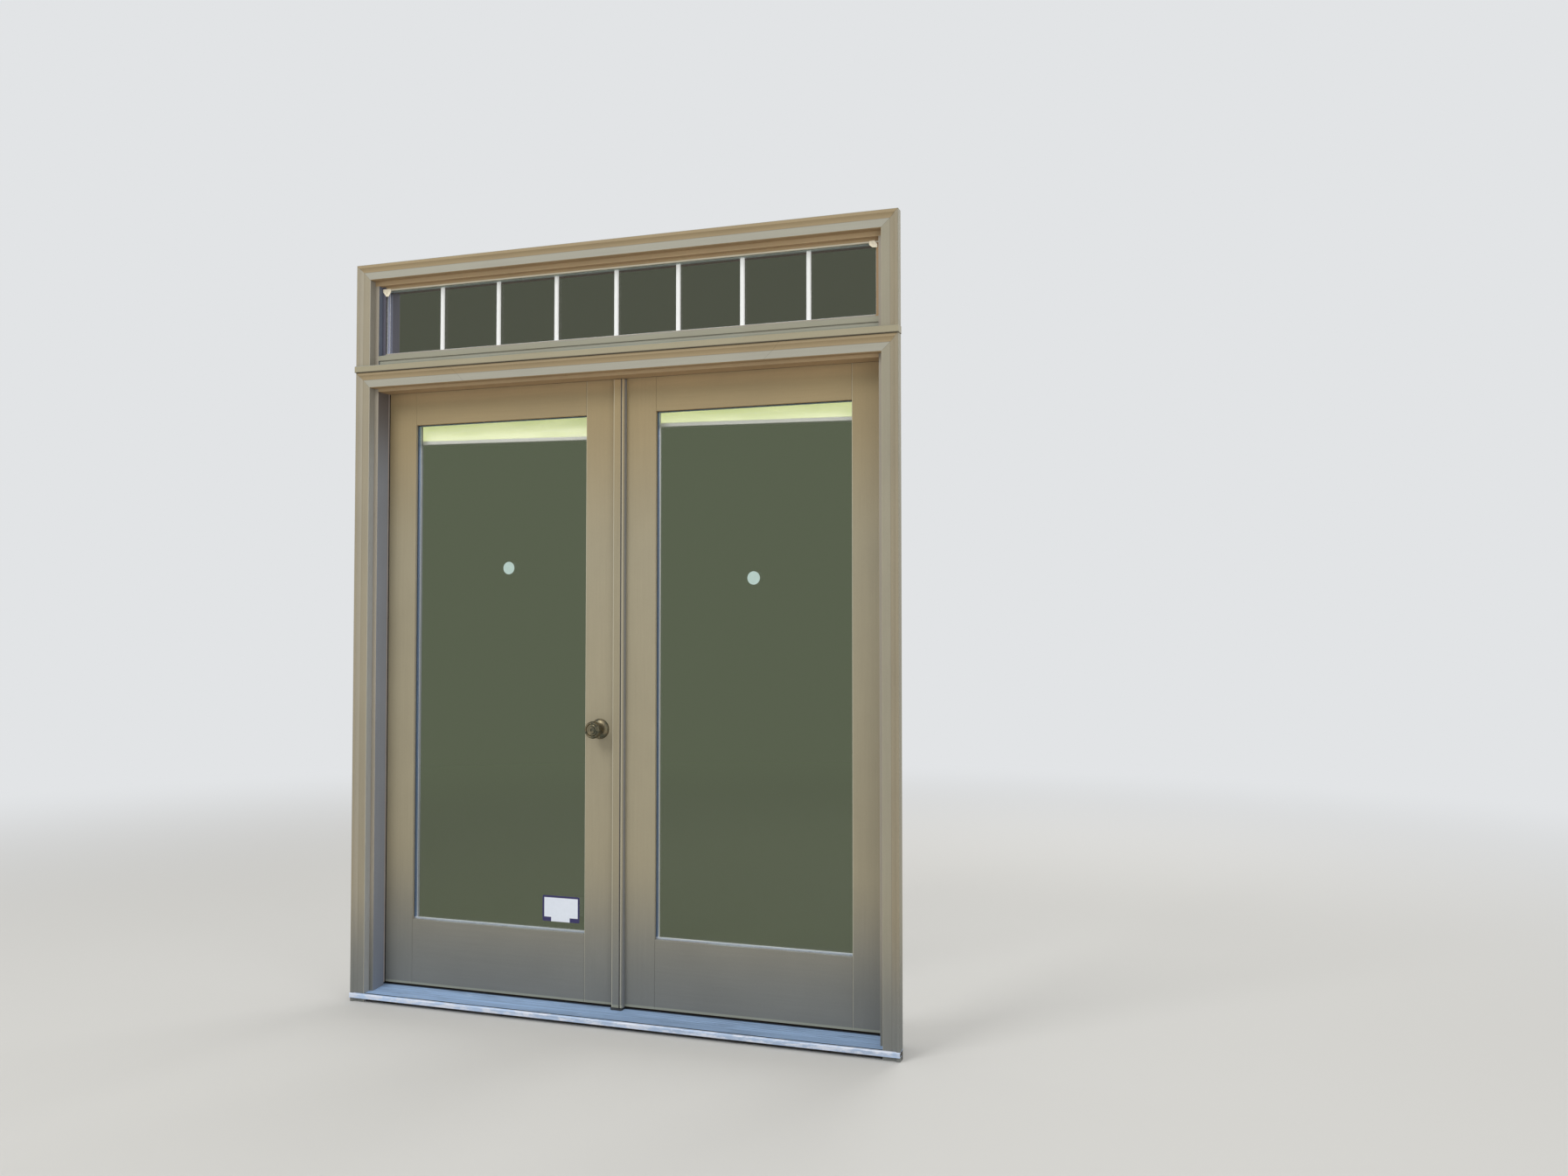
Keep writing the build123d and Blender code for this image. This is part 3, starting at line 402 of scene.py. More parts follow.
# Transom frame: a painted softwood sill and side jambs above the doors, with mitred stops pinned on each side
# of the glass. Light and shade are painted in: the sill's front is paler at the top and darker under its
# nose, its lip lighter underneath, and the outer stops are brown along the head and at the right, dark at the
# left, with a pale highlight along the head's lower edge.
# Painted shade tones: slate on the inner faces of the transom's side jambs, a shade tone for the fascia and
# the stops' left end, and grey-blue on the side faces of the stops on the room side.
transom_side_shade_tone = srgb(94, 106, 128)
wash_tone = srgb(148, 146, 128)
fascia_top_light_tone = srgb(162, 160, 144)
fascia_shade_tone = srgb(124, 130, 117)
stop_shade_tone = srgb(92, 92, 104)
room_side_shade_tone = srgb(136, 160, 194)
transom_jamb_paint = painted("transom_jamb_paint", jamb_tone, "z", side=transom_side_shade_tone, inside=True)
dress(transom_jamb_paint, "transom_side_jambs")
# Painted light on the sill's front: paler at the top, darker below, and its lip's underside painted in the
# lighter jamb tone.
fascia_light_fades = [("z", 2175.0, 2172.0, fascia_top_light_tone), ("z", 2171.0, 2157.0, fascia_shade_tone)]
transom_sill_paint = painted(
    "transom_sill_paint", wash_tone, "x", fades=fascia_light_fades, under=jamb_tone, inside=True
)
dress(transom_sill_paint, "transom_sill")
# Painted light on the outer stops: brown along the head and at the right, shade at the left, and a painted
# highlight along the head's lower edge and on their undersides.
stop_light_fades = [
    ("z", 2400.0, 2420.0, head_jamb_tone),
    ("x", 868.0, 872.0, under_shade_tone),
    ("x", -868.0, -872.0, stop_shade_tone),
]
stop_highlight_lines = [("z", 2421.0, 3.6, 0.9, highlight_tone)]
stop_paint = painted("stop_paint", jamb_tone, "x", fades=stop_light_fades, lines=stop_highlight_lines, under=highlight_tone)
dress(stop_paint, "transom_outer_stops")
dress(painted("inner_stop_paint", inside_tone, "x", side=room_side_shade_tone), "transom_inner_stops")


# Leaves: stiles and rails of painted softwood, jointed flush, with the joints showing as hairlines. Mitred
# beads hold the glass from the room. Light is painted in: browner and warmer under the head, greyer shade at
# the foot, pale highlights on the bottom edge and beside the glass, and shade on faces that look in.
leaf_tone = srgb(154, 145, 121)
# Painted light: a shade tone for faces that look to the middle, warm light under the head and eave, shade at
# the foot, and a highlight along the bottom edge.
leaf_side_shade_tone = srgb(144, 137, 120)
head_warm_light_tone = srgb(152, 134, 98)
eave_warm_light_tone = srgb(178, 152, 112)
foot_edge_highlight_tone = srgb(140, 143, 131)
leaf_light_fades = [
    ("z", 1450.0, 2050.0, head_warm_light_tone),
    ("z", 2010.0, 2070.0, eave_warm_light_tone),
    ("z", 550.0, 100.0, foot_shade_tone),
    ("z", 53.5, 51.5, foot_edge_highlight_tone),
]
leaf_joints = [("out", joint, 1.0, 0.45, dark_joint_and_shade_tone) for joint in (125.2, 780.2)]
# Painted highlights along the stiles' edges beside the glass.
stile_highlight_lines = [("x", edge, 1.4, 0.45, highlight_tone) for edge in (-124.2, 781.2)]
stile_paint = painted(
    "stile_paint", leaf_tone, "z", fades=leaf_light_fades, lines=stile_highlight_lines, side=leaf_side_shade_tone, inside=True
)
dress(stile_paint, "left_hinge_stile", "left_lock_stile", "right_hinge_stile", "right_meeting_stile")
rail_paint = painted("rail_paint", leaf_tone, "x", fades=leaf_light_fades, lines=leaf_joints, inside=True)
dress(rail_paint, "left_top_rail", "left_bottom_rail", "right_top_rail", "right_bottom_rail")
dress(painted("bead_paint", inside_tone, "z"), "left_inner_beads", "right_inner_beads")


# Astragal: a T-shaped softwood moulding, fixed to the right leaf's meeting stile, that laps over the joint
# between the leaves. Its profile has a line of painted shade in the groove between painted highlights on the
# bead and the left edge, and its side takes a painted shade tone.
astragal_tone = srgb(148, 139, 115)
astragal_side_shade_tone = srgb(132, 134, 136)
astragal_lines = [
    ("x", 8.9, 1.4, 0.4, dark_joint_and_shade_tone),
    ("x", 14.0, 3.4, 0.28, highlight_tone),
    ("x", -16.4, 2.2, 0.42, highlight_tone),
]
astragal_paint = painted(
    "astragal_paint",
    astragal_tone,
    "z",
    fades=leaf_light_fades,
    lines=astragal_lines,
    side=astragal_side_shade_tone,
    inside=True,
)
dress(astragal_paint, "astragal")


# Sill: an aluminium cladding with a worn mill finish, drawn along its length and bent over a timber base.
# Its nose is smeared with mortar in front of a dark seam. The threshold cap in its channel is varnished oak.
nose_back = -26.5
seam_middle = -25.0
seam_from = 3.52
seam_full = 1.92
# Painted shadow of the leaves: dark along the back of the tread and on the front edge of the threshold cap.
leaf_shadow_from = 67.0
leaf_shadow_full = 71.0
cap_shadow_from = 85.0
cap_shadow_full = 83.0
leaf_shadow_share = 0.9
darker_from = -700.0
darker_full = 200.0
darker_depth = 0.2
drawn_depth = 0.9
# Painted sky reflection: the mill, its darker blotches and its scuffs are tinted blue.
mill_sky_reflection_tone = srgb(166, 196, 234)
mill_dark_sky_reflection_tone = srgb(130, 152, 182)
scuff_sky_reflection_tone = srgb(214, 224, 236)
mortar_tone = srgb(226, 230, 240)
seam_tone = srgb(54, 66, 82)
leaf_shadow_tone = srgb(26, 26, 27)
oak_tone = srgb(150, 106, 62)
oak_dark_tone = srgb(112, 74, 40)
base_tone = srgb(134, 112, 84)
base_dark_tone = srgb(104, 84, 60)
mill = new_finish("drawn_aluminium")
sill_across, sill_into = mill.parts(mill.place())[:2]
drawn_lines = mill.noise((1.5, 130, 130), detail=5.0, rough=0.7)
scuffs = mill.noise((14, 90, 90), detail=5.0, rough=0.7, moved=(5, 2, 1))
grime = mill.noise((6, 30, 30), detail=4.0, rough=0.6, moved=(1, 7, 3))
smears = mill.noise((18, 60, 60), detail=5.0, rough=0.7, moved=(2, 4, 6))
sill_tone = mill.blend(mill.band(grime, 0.45, 0.75) * 0.6, mill_sky_reflection_tone, mill_dark_sky_reflection_tone)
sill_tone = mill.blend(mill.band(scuffs, 0.62, 0.72) * 0.5, sill_tone, scuff_sky_reflection_tone)
to_the_right = mill.band(sill_across, darker_from * MM, darker_full * MM)
sill_tone = mill.tone(sill_tone, 1.0 - to_the_right * darker_depth + drawn_lines.about(0.0, drawn_depth))
on_nose = (nose_back * MM - sill_into) > 0.0
mortar = on_nose * (0.25 + 0.6 * mill.band(smears, 0.42, 0.6))
sill_tone = mill.blend(mortar, sill_tone, mortar_tone)
in_seam = mill.band((sill_into - seam_middle * MM).size(), seam_from * MM, seam_full * MM)
sill_tone = mill.blend(in_seam, sill_tone, seam_tone)
# Painted shadow of the leaves along the back of the tread.
in_leaf_shadow = mill.band(sill_into, leaf_shadow_from * MM, leaf_shadow_full * MM)
sill_tone = mill.blend(in_leaf_shadow * leaf_shadow_share, sill_tone, leaf_shadow_tone)
mill_finish = mill.done(
    mill.solid(
        Base_Color=sill_tone,
        Metallic=0.2,
        Roughness=scuffs.about(0.42, 0.3),
        Normal=mill.bump(drawn_lines, 0.2 * MM, 0.5),
    )
)
dress(mill_finish, "sill")


def timber(name, light, dark, varnish):
    """Unpainted timber that runs along the sill, with painted shadow of the leaves on its front edge."""
    wood = new_finish(name)
    rings = wood.noise(brush_grain["x"], detail=5.0, rough=0.65)
    pores = wood.noise(tuple(4 * grain for grain in brush_grain["x"]), detail=2.0)
    colour = wood.blend(wood.band(rings, 0.35, 0.65), light, dark)
    colour = wood.tone(colour, pores.about(1.0, 0.3))
    cap_in_shadow = wood.band(wood.parts(wood.place())[1], cap_shadow_from * MM, cap_shadow_full * MM)
    colour = wood.blend(cap_in_shadow * leaf_shadow_share, colour, leaf_shadow_tone)
    return wood.done(
        wood.solid(
            Base_Color=colour,
            Roughness=0.55,
            Coat_Weight=varnish,
            Coat_Roughness=0.2,
            Normal=wood.bump(rings, 0.3 * MM, 0.5),
        )
    )


dress(timber("oak_cap", oak_tone, oak_dark_tone, varnish=0.4), "threshold_cap")
dress(timber("base_timber", base_tone, base_dark_tone, varnish=0.0), "sill_base")


# Weather seals, sweeps and the block under the astragal: extruded black rubber, dulled by dust. The strips
# are pressed into the rabbet and have a taupe face.
strip_face = 66.5
black_tone = srgb(34, 35, 37)
dusty_tone = srgb(66, 68, 70)
taupe_tone = srgb(176, 164, 156)
strip_back_tone = srgb(26, 26, 28)
rubber = new_finish("seal_rubber")
dusting = rubber.noise((30, 30, 30), detail=4.0)
rubber_tone = rubber.blend(rubber.band(dusting, 0.4, 0.7) * 0.5, black_tone, dusty_tone)
rubber_skin = rubber.bump(dusting, 0.2 * MM, 0.4)
seal_rubber = rubber.done(rubber.solid(Base_Color=rubber_tone, Roughness=0.75, Normal=rubber_skin))
dress(seal_rubber, "meeting_pad", "left_sweep", "right_sweep")
strip = new_finish("strip_rubber")
strip_dust = strip.noise((30, 30, 30), detail=4.0)
behind_face = strip.parts(strip.place())[1] > strip_face * MM
strip_tone = strip.blend(behind_face, taupe_tone, strip_back_tone)
strip_tone = strip.tone(strip_tone, strip_dust.about(1.0, 0.3))
strip_skin = strip.bump(strip_dust, 0.2 * MM, 0.4)
strip_rubber = strip.done(strip.solid(Base_Color=strip_tone, Roughness=0.75, Normal=strip_skin))
dress(strip_rubber, "weatherstrips")


# Glass: the two clear panes of each sealed unit, set in the rabbets of the leaves and of the transom. A pane
# mirrors by its slant, and the transom's rear pane is a grey one.
leaf_unit = (82.5, 100.5)
transom_unit = (27.0, 45.0)
face_reach = 1.0
clear_tint = srgb(255, 255, 255)
grey_tint = srgb(231, 226, 229)
head_on_shine = 0.045
slant_power = 5.0


def unit_glass(name, front, back, rear_tint):
    """Glass that mirrors on the unit's two outer faces, at the depths front and back in millimetres."""
    glass = new_finish(name)
    into = glass.parts(glass.place())[1]
    slant = glass.add("LayerWeight", {}, {"Blend": 0.5}, "Facing")
    mirror_share = head_on_shine + (1.0 - head_on_shine) * slant ** slant_power
    outer_face = ((front + face_reach) * MM - into > 0.0) + (into > (back - face_reach) * MM)
    pane_shine = glass.add("BsdfGlossy", {}, {"Color": clear_tint, "Roughness": 0.01})
    front_pane = glass.add("BsdfTransparent", {}, {"Color": clear_tint})
    rear_pane = glass.add("BsdfTransparent", {}, {"Color": rear_tint})
    panes = glass.mixed(into > (front + back) / 2 * MM, front_pane, rear_pane)
    return glass.done(glass.mixed(mirror_share * outer_face, panes, pane_shine))


dress(unit_glass("leaf_glass", *leaf_unit, clear_tint), "left_panes", "right_panes")
dress(unit_glass("transom_glass", *transom_unit, grey_tint), "transom_panes")


# Spacers and bars: folded aluminium parts the panes of each unit. Its blue is a painted sky reflection, with
# painted highlights along its rear edge and at its foot, and above the doors also along its front edge and on
# its underside. The transom's unit also holds seven bars of white lacquered aluminium between its panes.
leaf_spacer_depths = (85.5, 97.5)
leaf_spacer_foot = 272.0
transom_spacer_depths = (30.0, 42.0)
transom_spacer_foot = 2205.0
# The spacers' blue tones are a painted sky reflection, and the fold tone is for their painted highlights.
leaf_spacer_sky_tone = srgb(110, 134, 172)
transom_spacer_sky_tone = srgb(140, 152, 184)
fold_highlight_tone = srgb(244, 250, 255)
bar_tone = srgb(254, 255, 254)
bar_painted_glow = srgb(255, 255, 250)
back_fold = (3.0, 2.0)
front_fold = (1.5, 0.7)
foot_fold = 2.0
foot_highlight_share = 0.6


def folded_spacer(name, tone, front, back, foot, overhead):
    """Spacer metal between the depths front and back, in millimetres, with painted highlights on its rear
    edge and below the height foot. overhead is for the one above the doors, which is seen from below and also
    has painted highlights on its front edge and underside."""
    metal = new_finish(name)
    into, up = metal.parts(metal.place())[1:]
    fold_highlight = metal.band(into, (back - back_fold[0]) * MM, (back - back_fold[1]) * MM)
    if overhead:
        fold_highlight = fold_highlight + metal.band(into, (front + front_fold[0]) * MM, (front + front_fold[1]) * MM)
        fold_highlight = fold_highlight + metal.band(metal.parts(metal.facing())[2], -0.5, -0.9)
    fold_highlight = fold_highlight + metal.band(up, foot * MM, (foot - foot_fold) * MM) * foot_highlight_share
    grain = metal.noise((400, 400, 400), detail=2.0)
    colour = metal.tone(metal.blend(fold_highlight.limited(), tone, fold_highlight_tone), grain.about(1.0, 0.3))
    return metal.done(metal.solid(Base_Color=colour, Metallic=0.3, Roughness=0.4))


leaf_spacer = folded_spacer(
    "leaf_spacer_metal", leaf_spacer_sky_tone, *leaf_spacer_depths, leaf_spacer_foot, overhead=False
)
dress(leaf_spacer, "left_spacer", "right_spacer")
transom_spacer = folded_spacer(
    "transom_spacer_metal", transom_spacer_sky_tone, *transom_spacer_depths, transom_spacer_foot, overhead=True
)
dress(transom_spacer, "transom_spacer")
bars = new_finish("white_bar_lacquer")
bar_chalk = bars.noise((1, 1, 1), scale=60.0, detail=3.0)
bar_white = bars.tone(bar_tone, bar_chalk.about(1.0, 0.04))
# A faint painted glow makes the white bars brighter than the light alone.
white_bar_lacquer = bars.done(
    bars.solid(Base_Color=bar_white, Roughness=0.35, Emission_Color=bar_painted_glow, Emission_Strength=0.12)
)
dress(white_bar_lacquer, "transom_bars")


# Corner clips: two small cream plates, moulded in plastic and screwed to the transom's stops at its upper
# corners. They are a little yellowed in blotches.
clip_tone = srgb(250, 240, 214)
yellowed_tone = srgb(220, 207, 178)
cream = new_finish("cream_plastic")
cream_blotch = cream.noise((1, 1, 1), scale=120.0, detail=3.0)
cream_tone = cream.blend(cream.band(cream_blotch, 0.4, 0.7) * 0.5, clip_tone, yellowed_tone)
dress(cream.done(cream.solid(Base_Color=cream_tone, Roughness=0.5)), "corner_clips")


# Knob set: two roses and two knobs of turned brass through the left leaf's lock stile, with a key plug
# outside and a turn button inside. Their dark brown-green antique finish is rubbed brighter in spots.
antique_tone = srgb(134, 123, 98)
antique_dark_tone = srgb(88, 88, 74)
rubbed_tone = srgb(172, 152, 112)
brass = new_finish("antique_brass")
patina = brass.noise((1, 1, 1), scale=55.0, detail=5.0, rough=0.65)
rubbing = brass.noise((1, 1, 1), scale=140.0, detail=4.0, rough=0.6, moved=(2, 2, 2))
brass_tone = brass.blend(brass.band(patina, 0.38, 0.62), antique_tone, antique_dark_tone)
brass_tone = brass.blend(brass.band(rubbing, 0.55, 0.75) * 0.6, brass_tone, rubbed_tone)
antique_brass = brass.done(
    brass.solid(
        Base_Color=brass_tone,
        Metallic=0.9,
        Roughness=patina.about(0.44, 0.3),
        Normal=brass.bump(rubbing, 0.15 * MM, 0.4),
    )
)
dress(antique_brass, "outside_knob", "inside_knob", "knob_roses", "key_plug", "turn_button")


# Lock, latch, strike, flush bolts and hinges: pressed and drawn steel, let into the timber, plated, wiped and
# lightly scratched. The chassis and the bolts are steel-coloured, and the plates and hinges are brassy.
steel_tone = srgb(176, 172, 160)
steel_worn_tone = srgb(150, 146, 134)
plating_tone = srgb(176, 152, 104)
plating_worn_tone = srgb(142, 122, 84)


def plated(name, tone, worn):
    """Plated metal of this tone, with wipes of the worn one along its height."""
    plate = new_finish(name)
    wipes = plate.noise((90, 90, 12), detail=4.0, rough=0.6)
    marks = plate.noise((1, 1, 1), scale=260.0, detail=3.0)
    return plate.done(
        plate.solid(
            Base_Color=plate.blend(plate.band(wipes, 0.4, 0.7), tone, worn),
            Metallic=1.0,
            Roughness=marks.about(0.33, 0.3),
            Normal=plate.bump(wipes, 0.1 * MM, 0.3),
        )
    )


lock_steel = plated("lock_steel", steel_tone, steel_worn_tone)
dress(lock_steel, "lock_chassis", "latch_bolt", "upper_flush_bolt", "lower_flush_bolt")
brass_plating = plated("brass_plating", plating_tone, plating_worn_tone)
dress(brass_plating, "latch_case", "strike_plate", "bolt_guides", "bolt_strikes")
dress(brass_plating, "hinge_frame_plates", "left_hinge_plates", "right_hinge_plates", "hinge_pins")


# Screws: countersunk steel heads with a crossed slot, seated flush in the hinge plates, the latch's and the
# strike's plates, the bolt guides and the bolt strikes.
screw_radius = 3.9
screw_height = 0.6
screw_round = 0.3
screw_proud = 0.25
slot_half = 0.55
slot_depth = 0.3
screw_tone = srgb(168, 150, 112)
screw_worn_tone = srgb(132, 118, 88)
screw_steel = plated("screw_steel", screw_tone, screw_worn_tone)


def add_screw(mesh, place, facing):
    """Adds a screw head at place, in millimetres, which stands proud along facing."""
    head = bmesh.new()
    bmesh.ops.create_circle(head, cap_ends=True, segments=20, radius=screw_radius)
    raised = bmesh.ops.extrude_face_region(head, geom=head.faces[:])["geom"]
    top_verts = [item for item in raised if isinstance(item, bmesh.types.BMVert)]
    bmesh.ops.translate(head, verts=top_verts, vec=(0, 0, screw_height))
    rim = [edge for edge in head.edges if all(vert.co.z > screw_height / 2 for vert in edge.verts)]
    bmesh.ops.bevel(
        head, geom=rim, offset=screw_round, affect="EDGES", segments=2, profile=0.5, material=-1
    )
    for axis in (Vector((1, 0, 0)), Vector((0, 1, 0))):
        for side in (-1, 1):
            geometry = head.verts[:] + head.edges[:] + head.faces[:]
            bmesh.ops.bisect_plane(head, geom=geometry, plane_co=axis * slot_half * side, plane_no=axis)
    slot_faces = []
    for face in head.faces:
        middle = face.calc_center_median()
        if face.normal.z > 0.9 and min(abs(middle.x), abs(middle.y)) < slot_half:
            slot_faces.append(face)
    sunk = bmesh.ops.extrude_face_region(head, geom=slot_faces)["geom"]
    sunk_verts = [item for item in sunk if isinstance(item, bmesh.types.BMVert)]
    bmesh.ops.translate(head, verts=sunk_verts, vec=(0, 0, -slot_depth))
    bmesh.ops.delete(head, geom=slot_faces, context="FACES")
    turn = Vector(facing).to_track_quat("Z", "Y").to_matrix().to_4x4()
    seat = Matrix.Translation(Vector(place)) @ turn @ Matrix.Translation((0, 0, screw_proud - screw_height))
    bmesh.ops.transform(head, matrix=Matrix.Scale(MM, 4) @ seat, verts=head.verts)
    part = bpy.data.meshes.new("head")
    head.to_mesh(part)
    mesh.from_mesh(part)
    head.free()
    bpy.data.meshes.remove(part)


def finished(name, mesh, body, material):
    """Makes the mesh an object of this name that rides on the body and has the slot and material."""
    bmesh.ops.recalc_face_normals(mesh, faces=mesh.faces)
    piece = bpy.data.objects.new(name, bpy.data.meshes.new(name))
    mesh.to_mesh(piece.data)
    mesh.free()
    piece.data.materials.append(material)
    bpy.context.collection.objects.link(piece)
    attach(piece, body)
    return piece


def screws(name, body, places):
    mesh = bmesh.new()
    for place, facing in places:
        add_screw(mesh, place, facing)
    finished(name, mesh, body, screw_steel)


pocket_face = 897.2
leaf_edge = 894.2
hinge_middles = (375.0, 1111.5, 1848.0)
hinge_screws = [(105.0, -38.0), (92.0, -13.0), (92.0, 13.0), (105.0, 38.0)]


def hinge_heads(signs, plane, turned):
    """The screw places on the plates of the three hinges. turned is -1 where they face the middle."""
    return [
        ((sign * plane, depth, middle + rise), (turned * sign, 0, 0))
        for sign in signs
        for middle in hinge_middles
        for depth, rise in hinge_screws
    ]


screws("frame_hinge_screws", "frame", hinge_heads((-1, 1), pocket_face, -1))
screws("left_hinge_screws", "left_leaf", hinge_heads((-1,), leaf_edge, 1))
screws("right_hinge_screws", "right_leaf", hinge_heads((1,), leaf_edge, 1))
latch_face = -11.2
strike_face = -7.8
latch_depth = 94.7
bolt_depth = 100.0
latch_heights = (908.0, 952.0)
guide_heights = (88.0, 192.0, 1930.0, 2034.0)
bolt_strike_places = (-10.5, 13.9)
upper_strike = 2080.0
lower_strike = 42.0
latch_heads = [((latch_face, latch_depth, height), (1, 0, 0)) for height in latch_heights]
screws("latch_screws", "left_leaf", latch_heads)
strike_heads = [((strike_face, latch_depth, height), (-1, 0, 0)) for height in latch_heights]
guide_heads = [((strike_face, bolt_depth, height), (-1, 0, 0)) for height in guide_heights]
screws("right_leaf_screws", "right_leaf", strike_heads + guide_heads)
bolt_heads = [((across, bolt_depth, upper_strike), (0, 0, -1)) for across in bolt_strike_places]
bolt_heads += [((across, bolt_depth, lower_strike), (0, 0, 1)) for across in bolt_strike_places]
screws("bolt_strike_screws", "frame", bolt_heads)


# Blinds: a cream cloth in pleats under a white head rail, screwed to each leaf's inner face. It is one sheet
# with a painted glow of daylight at its front creases, and its white bottom rail hangs lower at the right
# end.
blind_near = 107.7
blind_far = 797.7
blind_top = 1997.0
blind_drop = 13.0
rail_height = 25.0
rail_depths = (117.0, 142.0)
rail_round = 3.0
foot_rail_height = 13.0
foot_rail_depths = (118.0, 141.0)
foot_rail_round = 2.5
foot_rail_inset = 4.0
cap_margin = 1.6
rail_tone = srgb(250, 250, 242)
blind_white = new_finish("blind_rail_lacquer")
rail_dust = blind_white.noise((1, 1, 1), scale=40.0, detail=3.0)
rail_white = blind_white.tone(rail_tone, rail_dust.about(1.0, 0.08))
blind_rail_lacquer = blind_white.done(blind_white.solid(Base_Color=rail_white, Roughness=0.4))


def blind_rail(name, body, low, high, round_over, drop):
    """A rail between two corners in millimetres, with rounded long edges and inset end caps. Its right end
    is let down by drop."""
    mesh = bmesh.new()
    centre = (Vector(low) + Vector(high)) / 2
    sizes = Vector(high) - Vector(low)
    place = Matrix.Translation(centre) @ Matrix.Diagonal((*sizes, 1.0))
    bmesh.ops.create_cube(mesh, size=1.0, matrix=place)
    ends = [face for face in mesh.faces if abs(face.normal.x) > 0.9]
    bmesh.ops.inset_individual(mesh, faces=ends, thickness=round_over * cap_margin)
    long_edges = [edge for edge in mesh.edges if abs((edge.verts[0].co - edge.verts[1].co).x) > sizes.x / 2]
    bmesh.ops.bevel(
        mesh, geom=long_edges, offset=round_over, affect="EDGES", segments=3, profile=0.5, material=-1
    )
    for vert in mesh.verts:
        vert.co.z -= drop * (vert.co.x - low[0]) / sizes.x
    bmesh.ops.scale(mesh, vec=(MM, MM, MM), verts=mesh.verts)
    return finished(name, mesh, body, blind_rail_lacquer)


cloth_front = 121.0
cloth_inset = 5.0
cloth_thickness = 0.2
cloth_columns = 16
pleat_count = 44
pleat_front = 118.6
pleat_back = 140.4
pleat_waver = 0.5
waver_by_pleat = 2.1
waver_across = 9.0
fold_heights = (0.0, 0.62, 0.74, 0.88)
cloth_tone = srgb(252, 250, 236)
faded_tone = srgb(242, 242, 222)
painted_daylight_glow = srgb(234, 248, 186)
no_glow = srgb(0, 0, 0)
cloth = new_finish("pleated_cloth")
weave = cloth.noise((900, 900, 900), detail=2.0)
fading = cloth.noise((6, 6, 40), detail=3.0)
cloth_cream = cloth.blend(cloth.band(fading, 0.35, 0.65), cloth_tone, faded_tone)
cloth_into = cloth.parts(cloth.place())[1]
pleated_cloth = cloth.done(
    cloth.solid(
        Base_Color=cloth.tone(cloth_cream, weave.about(1.0, 0.12)),
        Roughness=0.9,
        Normal=cloth.bump(weave, 0.2 * MM, 0.4),
        Emission_Color=cloth.blend(cloth_into > cloth_front * MM, painted_daylight_glow, no_glow),
        Emission_Strength=0.3,
    )
)


def pleats(name, body, left, right, low, high):
    """The drawn-up cloth: each pleat has a front crease, a way back, a back crease and a way forward."""
    mesh = bmesh.new()
    rows = 4 * pleat_count
    bmesh.ops.create_grid(mesh, x_segments=cloth_columns, y_segments=rows, size=0.5)
    for vert in mesh.verts:
        pleat, corner = divmod(round((vert.co.y + 0.5) * rows), 4)
        waver = pleat_waver * math.sin(pleat * waver_by_pleat + vert.co.x * waver_across)
        depth = pleat_front + waver if corner < 2 else pleat_back - waver
        across = left + (vert.co.x + 0.5) * (right - left)
        bottom = low - blind_drop * (vert.co.x + 0.5)
        height = bottom + (high - bottom) * (pleat + fold_heights[corner]) / pleat_count
        vert.co = Vector((across, depth, height)) * MM
    piece = finished(name, mesh, body, pleated_cloth)
    thickness = piece.modifiers.new("cloth_thickness", "SOLIDIFY")
    thickness.thickness = cloth_thickness * MM
    thickness.offset = 0.0
    return piece


def blind(side, sign, stack_low):
    """The blind of one leaf. stack_low is the height of its bottom rail's top, at the left end."""
    left, right = sorted((sign * blind_near, sign * blind_far))
    body = side + "_leaf"
    head_low = blind_top - rail_height
    low = (left, rail_depths[0], head_low)
    high = (right, rail_depths[1], blind_top)
    head = blind_rail(side + "_blind_head_rail", body, low, high, rail_round, 0.0)
    low = (left + foot_rail_inset, foot_rail_depths[0], stack_low - foot_rail_height)
    high = (right - foot_rail_inset, foot_rail_depths[1], stack_low)
    foot = blind_rail(side + "_blind_bottom_rail", body, low, high, foot_rail_round, blind_drop)
    sheet = pleats(side + "_blind_cloth", body, left + cloth_inset, right - cloth_inset, stack_low, head_low)
    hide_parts(side + "_blind")


blind("left", -1, 1908.0)
blind("right", 1, 1926.0)


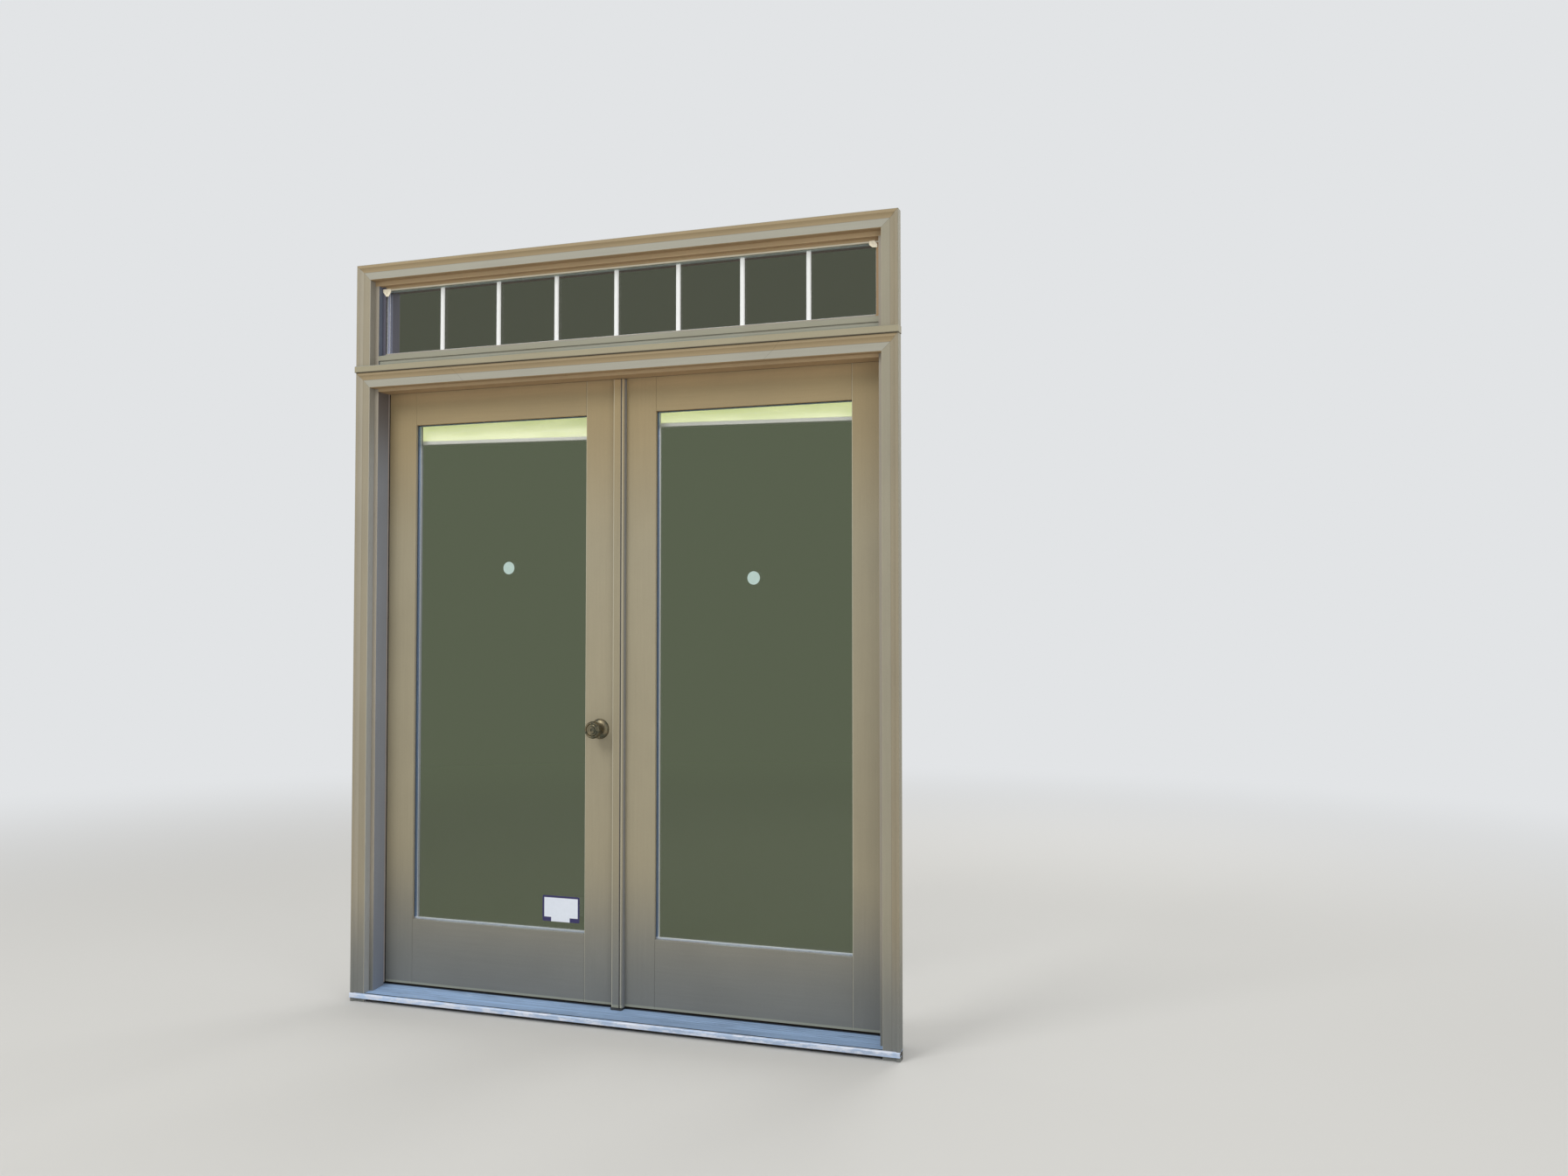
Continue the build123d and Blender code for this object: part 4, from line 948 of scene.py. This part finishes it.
# Stickers on the outer panes: a white label with a blue border and foot band in the left leaf's lower part,
# and one round frosted dot on each leaf. They are bare, thin vinyl, stuck flat on the glass.
glass_front = leaf_unit[0]
vinyl = 0.15
label_low = (-284.0, 294.0)
label_high = (-148.0, 378.0)
label_round = 5.0
label_border = 6.5
band_top = 308.0
gap_middle = -218.0
gap_half = 34.0
label_white = srgb(222, 228, 238)
label_blue = srgb(46, 42, 92)
label = new_finish("label_vinyl")
label_across, label_up = label.parts(label.place())[::2]
label_mid = [(low + high) / 2 for low, high in zip(label_low, label_high)]
label_half = [(high - low) / 2 for low, high in zip(label_low, label_high)]
from_side = label_half[0] - (label_across / MM - label_mid[0]).size()
from_top = label_high[1] - label_up / MM
border = 1.0 - (from_side > label_border) * (from_top > label_border)
foot_band = band_top - label_up / MM > 0.0
beside_gap = (label_across / MM - gap_middle).size() > gap_half
blue = (border + foot_band * beside_gap).limited()
label_dirt = label.noise((1, 1, 1), scale=90.0, detail=3.0)
label_tone = label.tone(label.blend(blue, label_white, label_blue), label_dirt.about(1.0, 0.1))
label_vinyl = label.done(label.solid(Base_Color=label_tone, Roughness=0.35))
label_mesh = bmesh.new()
label_place = Matrix.Translation((label_mid[0], glass_front - vinyl / 2, label_mid[1]))
label_size = Matrix.Diagonal((2 * label_half[0], vinyl, 2 * label_half[1], 1.0))
bmesh.ops.create_cube(label_mesh, size=1.0, matrix=label_place @ label_size)
corners = [edge for edge in label_mesh.edges if abs((edge.verts[0].co - edge.verts[1].co).y) > vinyl / 2]
bmesh.ops.bevel(
    label_mesh, geom=corners, offset=label_round, affect="EDGES", segments=5, profile=0.5, material=-1
)
bmesh.ops.scale(label_mesh, vec=(MM, MM, MM), verts=label_mesh.verts)
finished("glass_label", label_mesh, "left_leaf", label_vinyl)

dot_radius = 21.0
dots = {"left": (-419.0, 1459.0), "right": (457.0, 1415.0)}
frost_tone = srgb(176, 198, 190)
frosted = new_finish("frosted_vinyl")
frost = frosted.noise((1, 1, 1), scale=70.0, detail=3.0)
dot_tone = frosted.tone(frost_tone, frost.about(1.0, 0.2))
frosted_vinyl = frosted.done(frosted.solid(Base_Color=dot_tone, Roughness=0.6))
for side, (dot_across, dot_up) in dots.items():
    dot = bmesh.new()
    dot_place = Matrix.Translation((dot_across, glass_front - vinyl / 2, dot_up))
    bmesh.ops.create_cone(
        dot,
        cap_ends=True,
        segments=40,
        radius1=dot_radius,
        radius2=dot_radius,
        depth=vinyl,
        matrix=dot_place @ Matrix.Rotation(math.pi / 2, 4, "X"),
    )
    bmesh.ops.scale(dot, vec=(MM, MM, MM), verts=dot.verts)
    finished(side + "_glass_dot", dot, side + "_leaf", frosted_vinyl)
